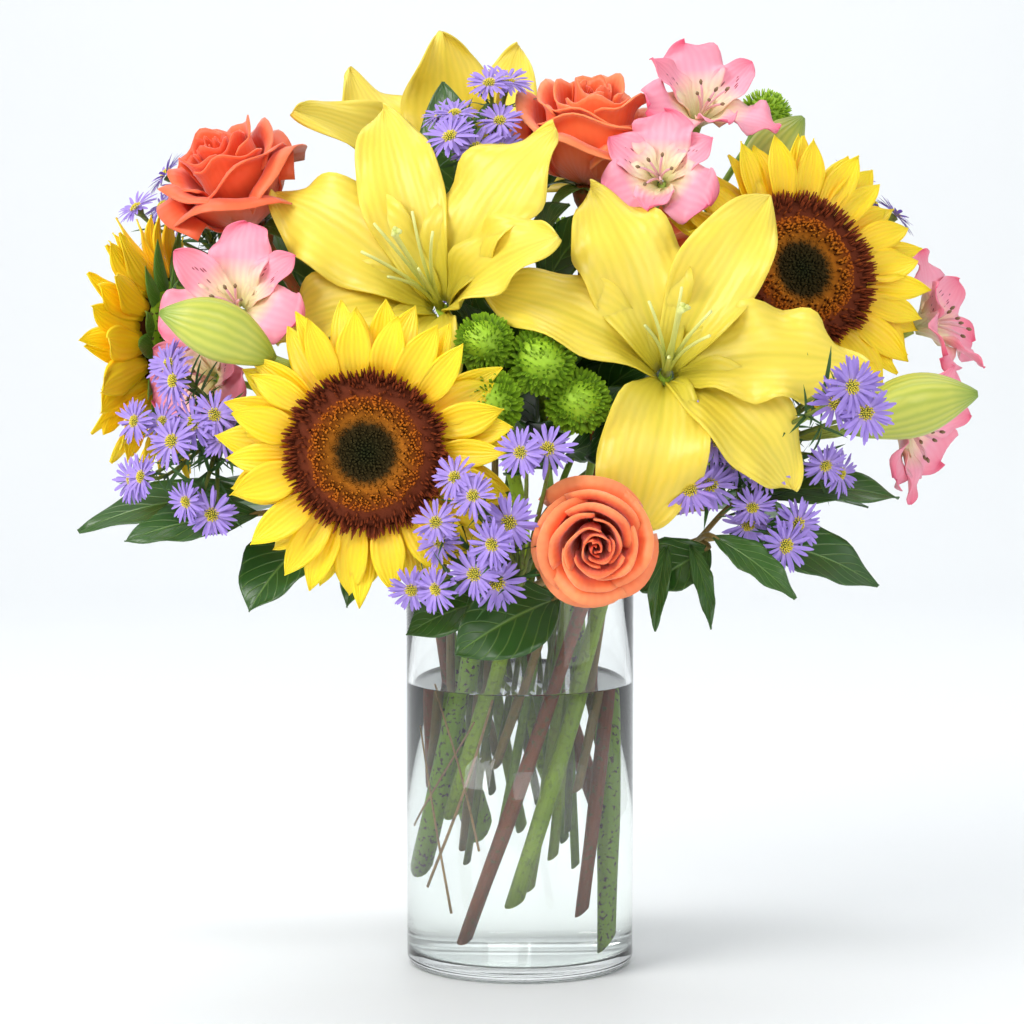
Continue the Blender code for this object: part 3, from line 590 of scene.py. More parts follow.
def lily_finish(colour):
    """Lily tepals: lemon, with long fine veins; greener in the throat and on the rib, their own colour, and
    darker there, painted shade in the throat and the rib's groove.
    """
    finish, tree, shader = new_finish("lily_tepal", 0.42)
    across, along, _ = place_sockets(tree)
    # throat is the tepals' own green with painted shade on it; the throat, the rib's groove and the fine
    # veins take it
    throat = tuple(c * k for c, k in zip(colour, (0.62, 0.72, 0.35)))
    pale = tuple(min(1.0, c * k) for c, k in zip(colour, (1.04, 1.08, 1.8)))
    base = ramp(tree, along, [(0.0, throat), (0.30, colour), (0.75, colour), (1.0, pale)])
    # The rib's groove takes the throat colour as painted shade, fading towards the tip
    rib = maths(tree, "MULTIPLY", around(0.0, 0.14, across, tree), 0.6)
    fade = maths(tree, "SUBTRACT", 1.0, maths(tree, "MULTIPLY", along, 0.8))
    ribbed = tint(tree, maths(tree, "MULTIPLY", rib, fade), base, throat)
    lines = veins(tree, across, along, 11.0, 3.0)
    lined = tint(tree, maths(tree, "MULTIPLY", lines, 0.20), ribbed, throat)
    soft = tint(tree, maths(tree, "MULTIPLY", mottle(tree, 30.0), 0.25), lined, pale)
    paint(tree, shader, soft)
    raise_surface(tree, shader, lines, 0.18 * MM)
    petal_body(shader, 0.22, (1.0, 0.85, 0.15))
    return finish


def bud_finish(colour):
    """Closed lily buds: yellow-green, with greener ribs and ends."""
    finish, tree, shader = new_finish("lily_bud", 0.4)
    across, along, _ = place_sockets(tree)
    green = tuple(c * k for c, k in zip(colour, (0.42, 0.62, 0.5)))
    base = ramp(tree, along, [(0.0, green), (0.25, colour), (0.8, colour), (1.0, green)])
    lines = veins(tree, across, along, 9.0, 2.5)
    paint(tree, shader, tint(tree, maths(tree, "MULTIPLY", lines, 0.4), base, green))
    raise_surface(tree, shader, lines, 0.3 * MM)
    return finish


def rose_finish(colour):
    """Rose petals: coral, with painted shade that turns them deeper and redder at the base, down in the
    bloom, and on the inner whorls; some roses are redder all over.
    """
    finish, tree, shader = new_finish("rose_petal", 0.5, Sheen_Weight=0.25)
    across, along, tone = place_sockets(tree)
    # deep is painted shade: the ramp lays it at each petal's base, down in the bloom's creases, and the fine
    # veins take it too
    deep = tuple(c * k for c, k in zip(colour, (0.82, 0.34, 0.20)))
    light = tuple(min(1.0, c * k) for c, k in zip(colour, (1.02, 1.7, 2.2)))
    base = ramp(tree, along, [(0.0, deep), (0.45, colour), (0.82, colour), (0.95, light), (1.0, light)])
    # Painted shade by each petal's tone, deepest on the inner whorls, with each rose's own redness added
    toned = tint(tree, tone, base, deep)
    soft = tint(tree, maths(tree, "MULTIPLY", mottle(tree, 60.0), 0.2), toned, light)
    lines = veins(tree, across, along, 13.0, 4.0)
    paint(tree, shader, tint(tree, maths(tree, "MULTIPLY", lines, 0.07), soft, deep))
    raise_surface(tree, shader, lines, 0.12 * MM)
    petal_body(shader, 0.2, (1.0, 0.30, 0.12))
    return finish


def alstroemeria_finish(colour):
    """Alstroemeria tepals: pale pink with rosy edges, a cream throat and dark dashes in it."""
    finish, tree, shader = new_finish("alstroemeria_tepal", 0.45)
    across, along, tone = place_sockets(tree)
    rosy = tuple(c * k for c, k in zip(colour, (0.92, 0.42, 0.62)))
    pale = tuple(min(1.0, c * k) for c, k in zip(colour, (1.04, 1.35, 1.3)))
    base = ramp(tree, along, [(0.0, (0.60, 0.62, 0.20)), (0.22, (0.94, 0.74, 0.50)), (0.40, pale),
                              (0.62, colour), (1.0, rosy)])
    lines = veins(tree, across, along, 8.0, 3.0)
    lined = tint(tree, maths(tree, "MULTIPLY", lines, 0.14), base, rosy)
    place = add_node(tree, "ShaderNodeCombineXYZ", {0: maths(tree, "MULTIPLY", across, 7.0),
                                                    1: maths(tree, "MULTIPLY", along, 8.0), 2: tone})
    dash = add_node(tree, "ShaderNodeTexVoronoi", {"Vector": place.outputs[0], "Scale": 1.0})
    dark = add_node(tree, "ShaderNodeMapRange", {0: dash.outputs["Distance"], 1: 0.20, 2: 0.28, 3: 1.0,
                                                 4: 0.0}).outputs[0]
    zone = maths(tree, "MULTIPLY", around(0.36, 0.2, along, tree), around(0.0, 0.7, across, tree))
    inner = maths(tree, "GREATER_THAN", tone, 0.5)
    within = maths(tree, "GREATER_THAN", zone, 0.2)
    marks = maths(tree, "MULTIPLY", maths(tree, "MULTIPLY", dark, inner), within)
    paint(tree, shader, tint(tree, maths(tree, "MULTIPLY", marks, 0.85), lined, (0.20, 0.01, 0.03)))
    raise_surface(tree, shader, lines, 0.15 * MM)
    petal_body(shader, 0.2, (1.0, 0.45, 0.45))
    return finish


def aster_finish(colour):
    """Aster rays: violet, paler to the tip, each its own tint."""
    finish, tree, shader = new_finish("aster_ray", 0.6)
    _, along, tone = place_sockets(tree)
    pale = tuple(min(1.0, c * k) for c, k in zip(colour, (1.6, 1.8, 1.18)))
    base = ramp(tree, along, [(0.0, pale), (0.3, colour), (0.8, colour), (1.0, pale)])
    paint(tree, shader, tint(tree, maths(tree, "MULTIPLY", tone, 0.8), base, pale))
    petal_body(shader, 0.15, (0.6, 0.5, 1.0))
    return finish


def floret_finish(name, base, tip, roughness=0.6):
    """Small florets and threads, darker at the foot than at the tip."""
    finish, tree, shader = new_finish(name, roughness)
    _, along, tone = place_sockets(tree)
    colour = ramp(tree, along, [(0.0, base), (0.9, tip)])
    darker = tuple(c * 0.6 for c in base)
    paint(tree, shader, tint(tree, maths(tree, "MULTIPLY", tone, 0.45), colour, darker))
    return finish


def leaf_finish(colour, vein_colour):
    """Leathery leaves: dark green, with a pale midrib and side veins that meet it aslant."""
    finish, tree, shader = new_finish("leaf", 0.34)
    across, along, tone = place_sockets(tree)
    off = maths(tree, "ABSOLUTE", across)
    light = tuple(min(1.0, c * k) for c, k in zip(colour, (2.6, 1.9, 1.8)))
    patch = mottle(tree, 55.0)
    base = tint(tree, maths(tree, "MULTIPLY", patch, 0.5), colour, light)
    toned = tint(tree, maths(tree, "MULTIPLY", tone, 0.55), base, light)
    slope = maths(tree, "SUBTRACT", maths(tree, "MULTIPLY", along, 9.0), maths(tree, "MULTIPLY", off, 2.6))
    wobble = maths(tree, "ADD", slope, maths(tree, "MULTIPLY", mottle(tree, 40.0), 0.35))
    share = maths(tree, "FRACT", wobble)
    side = around(0.5, 0.09, share, tree)
    rib = around(0.0, 0.055, across, tree)
    lines = maths(tree, "MAXIMUM", maths(tree, "MULTIPLY", side, 0.55), rib)
    paint(tree, shader, tint(tree, maths(tree, "MULTIPLY", lines, 0.8), toned, vein_colour))
    height = maths(tree, "SUBTRACT", maths(tree, "MULTIPLY", patch, 0.3), lines)
    raise_surface(tree, shader, height, 0.5 * MM)
    petal_body(shader, 0.06, (0.4, 1.0, 0.1))
    return finish


def stem_finish(name, colour, speck_colour, specks=0.5):
    """Cut stems: fine ribs along them, brown specks, and a pale cut foot."""
    finish, tree, shader = new_finish(name, 0.45, Specular_IOR_Level=0.25)
    across, along, tone = place_sockets(tree)
    light = tuple(min(1.0, c * k) for c, k in zip(colour, (1.9, 1.6, 1.2)))
    base = tint(tree, mottle(tree, 70.0), colour, light)
    toned = tint(tree, maths(tree, "MULTIPLY", tone, 0.6), base, light)
    grain = mottle(tree, 520.0, 2.0)
    dots = add_node(tree, "ShaderNodeMapRange", {0: grain, 1: 0.56, 2: 0.64}).outputs[0]
    specked = tint(tree, maths(tree, "MULTIPLY", dots, specks), toned, speck_colour)
    cut = maths(tree, "LESS_THAN", along, -0.02)
    paint(tree, shader, tint(tree, cut, specked, (0.80, 0.82, 0.58)))
    ribs = veins(tree, across, along, 6.0, 1.0)
    raise_surface(tree, shader, maths(tree, "ADD", maths(tree, "MULTIPLY", ribs, 0.5), dots), 0.25 * MM)
    return finish


def clear_finish(name, colour, ior):
    finish, _, shader = new_finish(name, 0.0, Transmission_Weight=1.0, IOR=ior)
    shader.inputs["Base Color"].default_value = (*colour, 1)
    return finish


def floor_finish(colour):
    finish, tree, shader = new_finish("floor", 0.55)
    lighter = tuple(min(1.0, c * 1.03) for c in colour)
    paint(tree, shader, tint(tree, mottle(tree, 3.0), colour, lighter))
    return finish


# ---------------------------------------------------------------- heads of florets

def head_tree():
    """A node group that sets a spiral or ring of small parts on each point of a mesh.

    Each point is one flower head, with its facing, size and spin as attributes. The part points
    along +Z. It leans out from the head's axis, more so at the edge than in the middle.
    """
    tree = bpy.data.node_groups.new("floret_head", "GeometryNodeTree")
    face = tree.interface
    sockets = (("Heads", "NodeSocketGeometry", None), ("Part", "NodeSocketObject", None),
               ("Count", "NodeSocketInt", 24), ("Turn", "NodeSocketFloat", GOLDEN_ANGLE),
               ("Inner radius", "NodeSocketFloat", 0.0), ("Outer radius", "NodeSocketFloat", 10 * MM),
               ("Ball radius", "NodeSocketFloat", 0.0), ("Dome", "NodeSocketFloat", 0.0),
               ("Lean inside", "NodeSocketFloat", 0.0), ("Lean outside", "NodeSocketFloat", 1.0),
               ("Size inside", "NodeSocketFloat", 1.0), ("Size outside", "NodeSocketFloat", 1.0),
               ("Ring from", "NodeSocketFloat", 0.0), ("Ring to", "NodeSocketFloat", 1.0),
               ("Unevenness", "NodeSocketFloat", 0.1), ("Seed", "NodeSocketInt", 1),
               ("Finish", "NodeSocketMaterial", None))
    for name, kind, value in sockets:
        socket = face.new_socket(name, in_out="INPUT", socket_type=kind)
        if value is not None:
            socket.default_value = value
    face.new_socket("Florets", in_out="OUTPUT", socket_type="NodeSocketGeometry")
    given = tree.nodes.new("NodeGroupInput").outputs

    dots = add_node(tree, "GeometryNodeMeshToPoints", {"Mesh": given["Heads"]})
    copies = add_node(tree, "GeometryNodeDuplicateElements",
                      {"Geometry": dots.outputs[0], "Amount": given["Count"]}, domain="POINT")
    number = copies.outputs["Duplicate Index"]
    whole = add_node(tree, "GeometryNodeInputIndex").outputs[0]
    share = maths(tree, "DIVIDE", maths(tree, "ADD", number, 0.5), given["Count"])
    root = maths(tree, "SQRT", share)

    def own(name, kind):
        node = add_node(tree, "GeometryNodeInputNamedAttribute", {"Name": name}, data_type=kind)
        return next(s for s in node.outputs if s.enabled and s.name == "Attribute")

    def chance(offset, low=-1.0, high=1.0):
        seed = maths(tree, "ADD", given["Seed"], float(offset))
        node = add_node(tree, "FunctionNodeRandomValue", data_type="FLOAT")
        low_in, high_in = [s for s in node.inputs if s.enabled and s.name in ("Min", "Max")]
        low_in.default_value, high_in.default_value = low, high
        tree.links.new(whole, node.inputs["ID"])
        tree.links.new(seed, node.inputs["Seed"])
        return next(s for s in node.outputs if s.enabled)

    rough = given["Unevenness"]
    azimuth = maths(tree, "ADD", maths(tree, "MULTIPLY", number, given["Turn"]), own("spin", "FLOAT"))
    azimuth = maths(tree, "ADD", azimuth, maths(tree, "MULTIPLY", chance(1), rough))
    lean = lerp(tree, given["Lean inside"], given["Lean outside"], root)
    lean = maths(tree, "ADD", lean, maths(tree, "MULTIPLY", chance(2), rough))
    radius = maths(tree, "ADD", lerp(tree, given["Inner radius"], given["Outer radius"], root),
                   maths(tree, "MULTIPLY", given["Ball radius"], maths(tree, "SINE", lean)))
    height = maths(tree, "ADD", maths(tree, "MULTIPLY", given["Dome"], maths(tree, "SUBTRACT", 1.0, share)),
                   maths(tree, "MULTIPLY", given["Ball radius"], maths(tree, "COSINE", lean)))
    flat = add_node(tree, "ShaderNodeCombineXYZ", {
        0: maths(tree, "MULTIPLY", radius, maths(tree, "COSINE", azimuth)),
        1: maths(tree, "MULTIPLY", radius, maths(tree, "SINE", azimuth)), 2: height}).outputs[0]
    size = own("size", "FLOAT")
    grown = add_node(tree, "ShaderNodeVectorMath", {0: flat, 3: size}, operation="SCALE").outputs[0]
    head = add_node(tree, "FunctionNodeAlignRotationToVector", {"Vector": own("facing", "FLOAT_VECTOR")},
                    axis="Z").outputs[0]
    offset = add_node(tree, "FunctionNodeRotateVector", {"Vector": grown, "Rotation": head}).outputs[0]
    moved = add_node(tree, "GeometryNodeSetPosition", {"Geometry": copies.outputs[0], "Offset": offset})

    zone = lerp(tree, given["Ring from"], given["Ring to"], root)
    kept = moved.outputs[0]
    for name, value in (("ring", zone), ("tone", chance(3, 0.0, 1.0))):
        store = add_node(tree, "GeometryNodeStoreNamedAttribute",
                         {"Geometry": kept, "Name": name}, data_type="FLOAT", domain="POINT")
        tree.links.new(value, next(s for s in store.inputs if s.enabled and s.name == "Value"))
        kept = store.outputs[0]

    angles = add_node(tree, "ShaderNodeCombineXYZ", {0: 0.0, 1: lean, 2: azimuth}).outputs[0]
    local = add_node(tree, "FunctionNodeEulerToRotation", {0: angles}).outputs[0]
    turn = add_node(tree, "FunctionNodeRotateRotation", {"Rotation": head, "Rotate By": local},
                    rotation_space="LOCAL").outputs[0]
    scale = maths(tree, "MULTIPLY", lerp(tree, given["Size inside"], given["Size outside"], root), size)
    scale = maths(tree, "MULTIPLY", scale, maths(tree, "ADD", 1.0, maths(tree, "MULTIPLY", chance(4), rough)))
    part = add_node(tree, "GeometryNodeObjectInfo", {"Object": given["Part"]}).outputs["Geometry"]
    set_out = add_node(tree, "GeometryNodeInstanceOnPoints",
                       {"Points": kept, "Instance": part, "Rotation": turn, "Scale": scale})
    real = add_node(tree, "GeometryNodeRealizeInstances", {"Geometry": set_out.outputs[0]})
    coloured = add_node(tree, "GeometryNodeSetMaterial",
                        {"Geometry": real.outputs[0], "Material": given["Finish"]})
    out = tree.nodes.new("NodeGroupOutput")
    tree.links.new(coloured.outputs[0], out.inputs[0])
    return tree


def floret_heads(name, heads, part, finish, **values):
    """Runs the head group on a mesh of heads, given as (centre, facing, size), and keeps the plain mesh."""
    mesh = bpy.data.meshes.new(name)
    mesh.from_pydata([centre for centre, _, _ in heads], [], [])
    draw = random.Random(name)
    ways = [number for _, way, _ in heads for number in Vector(way).normalized()]
    columns = (("facing", "FLOAT_VECTOR", "vector", ways),
               ("size", "FLOAT", "value", [size for _, _, size in heads]),
               ("spin", "FLOAT", "value", [draw.uniform(0, 2 * math.pi) for _ in heads]))
    for label, kind, field, numbers in columns:
        mesh.attributes.new(label, kind, "POINT").data.foreach_set(field, numbers)
    source = bpy.data.objects.new(name, mesh)
    bpy.context.scene.collection.objects.link(source)
    tree = bpy.data.node_groups.get("floret_head") or head_tree()
    grow = source.modifiers.new("grow", "NODES")
    grow.node_group = tree
    wanted = {"Part": part, "Finish": finish, **{key.replace("_", " "): v for key, v in values.items()}}
    for item in tree.interface.items_tree:
        if item.in_out == "INPUT" and item.name in wanted:
            grow[item.identifier] = wanted[item.name]
    return baked_piece(source, finish)


def baked_piece(source, finish):
    """The evaluated mesh of an object as a plain piece of the same name. The source is used up."""
    graph = bpy.context.evaluated_depsgraph_get()
    graph.update()
    mesh = bpy.data.meshes.new_from_object(source.evaluated_get(graph))
    name = source.name
    bpy.data.objects.remove(source)
    mesh.name = name
    mesh.shade_smooth()
    return place_object(name, mesh, finish)


floret_parts = []


def floret_part(name, grower):
    """A part for the head group, kept out of sight until every head is made."""
    part = bpy.data.objects.new(name, grower.mesh(name))
    bpy.context.scene.collection.objects.link(part)
    part.hide_render = True
    floret_parts.append(part)
    return part


def spike(length, foot, tip):
    """A small pointed floret along +Z, with five sides."""
    grower = Grower()
    grower.turned(Matrix.Identity(4), [(0, -0.2 * length), (foot, 0), (foot, 0.5 * length),
                                       (tip, length), (0, length * 1.05)], 5)
    return grower


def ray_part(length, half_width, **shape):
    """One flat ray or quill along +Z, whose upper side faces the middle of the head."""
    grower = Grower()
    grid = blade_grid(length, half_width, **shape)
    grower.blade(Matrix.Rotation(math.radians(-90), 4, "Y"), grid)
    return grower


# ---------------------------------------------------------------- pieces shared by the flowers

def stem_route(name, end, way):
    """The cut foot, the straight run to the rim and the bend up to end, arriving along way."""
    foot, top = lines[name]
    straight = [foot.lerp(top, i / 6) for i in range(6)]
    return straight + hermite(top, (top - foot) * 0.8, end, way, 18)


def grow_stem(grower, name, end, way, tip_share=0.8, joints=0, sides=16):
    """One stem from its cut foot to its flower, with low swellings at its leaf joints."""
    radius = (THICK_STEMS.get(name) or THIN_STEMS[name])[0] * MM
    points = stem_route(name, end, way)
    draw = random.Random("stem " + name)
    radii = []
    for i in range(len(points)):
        share = i / (len(points) - 1)
        swell = 1 + 0.10 * joints * (i % 4 == 2) + draw.uniform(-0.02, 0.02)
        radii.append(radius * (1 - (1 - tip_share) * share) * swell)
    grower.rod(points, radii, sides, slant=1.1, lobes=6, lobe_depth=0.025, tone=draw.random())


def twig_points(fork, way_in, end, way_out, count=10):
    return hermite(fork - way_in.normalized() * MM, way_in, end, way_out, count)


# ---------------------------------------------------------------- vase, water and stage

def vase_shape():
    """The wall's outline, up the outside, over the fire-polished rim and down the inside."""
    outer, inner = VASE_RADIUS, VASE_RADIUS - VASE_WALL
    foot, heel = 5 * MM, 3.5 * MM
    outline = [(0, 1.1 * MM), (outer * 0.55, 1.0 * MM), (outer * 0.82, 0.35 * MM), (outer - foot - 1 * MM, 0)]
    outline += [(outer - foot * (1 - math.sin(a)), foot * (1 - math.cos(a)))
                for a in np.linspace(0.12, math.pi / 2, 9)]
    outline += [(outer, 0.3 * VASE_HEIGHT), (outer, 0.7 * VASE_HEIGHT)]
    lip = VASE_WALL / 2
    outline += [(outer - lip + lip * math.cos(a), VASE_HEIGHT - lip + lip * math.sin(a))
                for a in np.linspace(0, math.pi, 9)]
    outline += [(inner, 0.7 * VASE_HEIGHT), (inner, 0.3 * VASE_HEIGHT)]
    outline += [(inner - heel * (1 - math.cos(a)), VASE_FLOOR + heel * (1 - math.sin(a)))
                for a in np.linspace(0, math.pi / 2, 8)]
    return outline + [(inner * 0.5, VASE_FLOOR - 0.2 * MM), (0, VASE_FLOOR - 0.3 * MM)]


def make_vase(tint_colour):
    grower = Grower()
    grower.turned(Matrix.Identity(4), vase_shape(), 160)
    glass = clear_finish("vase_glass", tint_colour, 1.47)
    hand_over(grower.piece("glass_vase", glass), "glass", "vase")


def make_water(tint_colour):
    """The water stands against the glass, and climbs it a little at its edge."""
    skin = 0.3 * MM
    radius = VASE_RADIUS - VASE_WALL + skin
    low, climb = VASE_FLOOR - skin, 1.6 * MM
    outline = [(0, low - 0.2 * MM), (radius * 0.5, low - 0.1 * MM)]
    heel = 3.5 * MM
    outline += [(radius - heel * (1 - math.sin(a)), low + heel * (1 - math.cos(a)))
                for a in np.linspace(0, math.pi / 2, 8)]
    outline += [(radius, 0.5 * WATER_LINE), (radius, WATER_LINE + climb * 0.5)]
    outline += [(radius - skin - s, WATER_LINE - climb * 0.4 + climb * math.exp(-s / (1.3 * MM)))
                for s in np.linspace(0, 7 * MM, 8)]
    outline += [(radius * 0.4, WATER_LINE - climb * 0.4), (0, WATER_LINE - climb * 0.4)]
    grower = Grower()
    grower.turned(Matrix.Identity(4), outline, 160)
    hand_over(grower.piece("still_water", clear_finish("water", tint_colour, 1.333)), "water", "water")


def make_floor(colour):
    """A pale floor that sweeps up behind into a plain wall."""
    front, back, side, bend, top = -2.6, 1.5, 3.0, 0.9, 2.6
    line = [(front, 0.0)]
    line += [(back + bend * math.sin(a), bend * (1 - math.cos(a))) for a in np.linspace(0, math.pi / 2, 24)]
    line.append((back + bend, top))
    grid = np.array([[(x, y, z) for x in (side, -side)] for y, z in line])
    grower = Grower()
    grower.blade(Matrix.Identity(4), grid)
    floor = grower.piece("floor", floor_finish(colour))


def add_light(name, place, target, size, power, colour=(1, 1, 1)):
    lamp = bpy.data.lights.new(name, "AREA")
    lamp.shape = "RECTANGLE"
    lamp.size, lamp.size_y = size
    lamp.energy = power
    lamp.color = colour
    obj = bpy.data.objects.new(name, lamp)
    obj.location = place
    obj.rotation_euler = (Vector(target) - Vector(place)).to_track_quat("-Z", "Y").to_euler()
    bpy.context.scene.collection.objects.link(obj)


def set_world(colour, strength):
    """An even light from all round, dimmer from the side that the glass mirrors to the front."""
    world = bpy.data.worlds.new("room")
    world.use_nodes = True
    tree = world.node_tree
    background = tree.nodes["Background"]
    background.inputs["Color"].default_value = (*colour, 1)
    way = add_node(tree, "ShaderNodeSeparateXYZ",
                   {0: add_node(tree, "ShaderNodeTexCoord").outputs["Object"]}).outputs["Y"]
    dim_from, bright_from, dim, bright = -0.9, 0.1, 0.3 * strength, 1.1 * strength
    level = add_node(tree, "ShaderNodeMapRange",
                     {0: way, 1: dim_from, 2: bright_from, 3: dim, 4: bright}).outputs[0]
    tree.links.new(level, background.inputs["Strength"])
    bpy.context.scene.world = world


def set_camera(place, pitch, lens):
    camera = bpy.data.cameras.new("camera")
    camera.lens = lens
    camera.sensor_width = 36
    camera.clip_start = 0.05
    obj = bpy.data.objects.new("camera", camera)
    obj.location = place
    obj.rotation_euler = (math.pi / 2 - pitch, 0, 0)
    bpy.context.scene.collection.objects.link(obj)
    bpy.context.scene.camera = obj


# ---------------------------------------------------------------- sunflowers

def make_sunflower(name, centre, facing, radius, lean, finishes):
    place = facing_frame(mm(centre), facing)
    way = place.to_3x3() @ UP
    draw = random.Random(name)
    reach = radius * MM - DISC_RADIUS

    rays = Grower()
    # (petals, stretch, how far the layer drops in mm, rise in degrees at the base and at the tip)
    layers = ((18, 0.98, 1.6, 20, -8), (17, 1.04, 0.2, 8, -14), (15, 1.06, -1.4, -4, -22))
    for layer, (count, stretch, drop, base, tip) in enumerate(layers):
        for i in range(count):
            angle = 360 * (i + 0.5 * (layer % 2) + 0.25 * (layer == 2)) / count + draw.uniform(-5, 5)
            grid = blade_grid(
                reach * stretch * draw.uniform(0.90, 1.06), 7.9 * MM * draw.uniform(0.82, 1.12),
                rise=(base + lean + draw.uniform(-8, 10), tip + lean + draw.uniform(-22, 26)),
                base=0.46, peak=0.42, point=1.05, cup=(0.75, draw.uniform(0.05, 0.5)),
                rib=0.25 * MM, ruffle=0.9 * MM,
                waves=1.3, phase=draw.uniform(0, 6), twist=draw.uniform(-0.45, 0.45),
                sway=draw.uniform(-4, 4) * MM, hub=DISC_RADIUS * 0.93, drop=drop * MM,
                furrows=0.35 * MM, rows=14, columns=10)
            rays.blade(place @ spin(angle), grid, draw.random())
    hand_over(rays.piece(name + "_petals", finishes["ray"], 0.35 * MM), "ray_yellow", name + "_rays")

    disc = Grower()
    bowl = [(0, 1.0), (28, 1.0), (32, 3.0), (32.5, 5.0), (29, 7.0), (22, 7.4), (15, 6.2), (8, 5.2), (0, 5.0)]
    disc.turned(place, outline_mm(bowl), 64)
    seed_head = disc.piece(name + "_seed_head", finishes["disc"])
    ring, into_place = seed_head.data.attributes.new("ring", "FLOAT", "POINT"), place.inverted()
    for vertex, value in zip(seed_head.data.vertices, ring.data):
        value.value = (into_place @ vertex.co).xy.length / DISC_RADIUS
    hand_over(seed_head, "disc_brown", name + "_disc")
    lift = place @ Vector((0, 0, 5 * MM))
    head = [(lift, facing, 1.0)]
    # (label, part, count, inner and outer radius in mm, lean at each, ring zone at each, size, dome)
    kinds = (("inner", finishes["bud"], 460, 0.0, 15.5, 0.1, 0.15, 0.0, 0.44, 1.0, 0.0),
             ("middle", finishes["floret"], 620, 15.5, 24.5, -0.15, 0.05, 0.44, 0.72, 0.9, 2.4),
             ("outer", finishes["plume"], 640, 24.5, 32.5, 0.15, 0.95, 0.72, 1.0, 1.0, 0.4))
    for label, part, count, near, far, lean_in, lean_out, low, high, scale, dome in kinds:
        # A ring's spiral starts at its inner edge, so its radius grows with the root of its share
        piece = floret_heads(f"{name}_{label}_florets", head, part, finishes["disc"], Count=count,
                             Inner_radius=near * MM, Outer_radius=far * MM, Dome=dome * MM,
                             Lean_inside=lean_in, Lean_outside=lean_out, Ring_from=low, Ring_to=high,
                             Size_inside=scale, Size_outside=1.0, Unevenness=0.16, Seed=7)
        hand_over(piece, "disc_brown")

    green = Grower()
    end = mm(centre) - way * 14 * MM
    grow_stem(green, name, end, way, joints=0.6)
    cup = [(0, -17), (4, -16.6), (7, -15), (16, -9), (25, -4), (29, -1.4), (24, -0.9), (0, -0.9)]
    green.turned(place, outline_mm(cup), 40, 0.5)
    hand_over(green.piece(name + "_green_stem", finishes["stem"]), "stem_green", name + "_stem")
    sepals = Grower()
    for layer, (count, length, drop, rise) in enumerate(((15, 30, -3.0, 8), (13, 25, -6.5, -6))):
        for i in range(count):
            grid = blade_grid(length * MM * draw.uniform(0.85, 1.15), 6.2 * MM,
                              rise=(rise, rise - draw.uniform(5, 40)), base=0.9, peak=0.15, point=1.1,
                              cup=(0.3, 0.5), rib=0.3 * MM, twist=draw.uniform(-0.4, 0.4),
                              hub=(21 - 4 * layer) * MM, drop=drop * MM, rows=8, columns=6)
            sepals.blade(place @ spin(360 * (i + 0.5 * layer) / count + draw.uniform(-6, 6)), grid,
                         draw.random())
    hand_over(sepals.piece(name + "_sepals", finishes["sepal"], 0.4 * MM), "leaf_green")


def make_sunflowers(settings):
    finishes = {"ray": ray_finish(tuple(settings.sunflower_yellow)),
                "disc": disc_finish(tuple(settings.disc_brown)),
                "stem": stem_finish("sunflower_stem", (0.17, 0.34, 0.015), (0.085, 0.045, 0.012), 0.95),
                "sepal": leaf_finish((0.06, 0.16, 0.02), (0.20, 0.36, 0.07)),
                "bud": floret_part("disc_bud", spike(1.7 * MM, 0.62 * MM, 0.42 * MM)),
                "floret": floret_part("disc_floret", spike(3.0 * MM, 0.55 * MM, 0.44 * MM)),
                "plume": floret_part("disc_plume", spike(5.2 * MM, 0.60 * MM, 0.22 * MM))}
    for name, row in SUNFLOWERS.items():
        make_sunflower(name, *row, finishes)


# ---------------------------------------------------------------- lilies and their buds

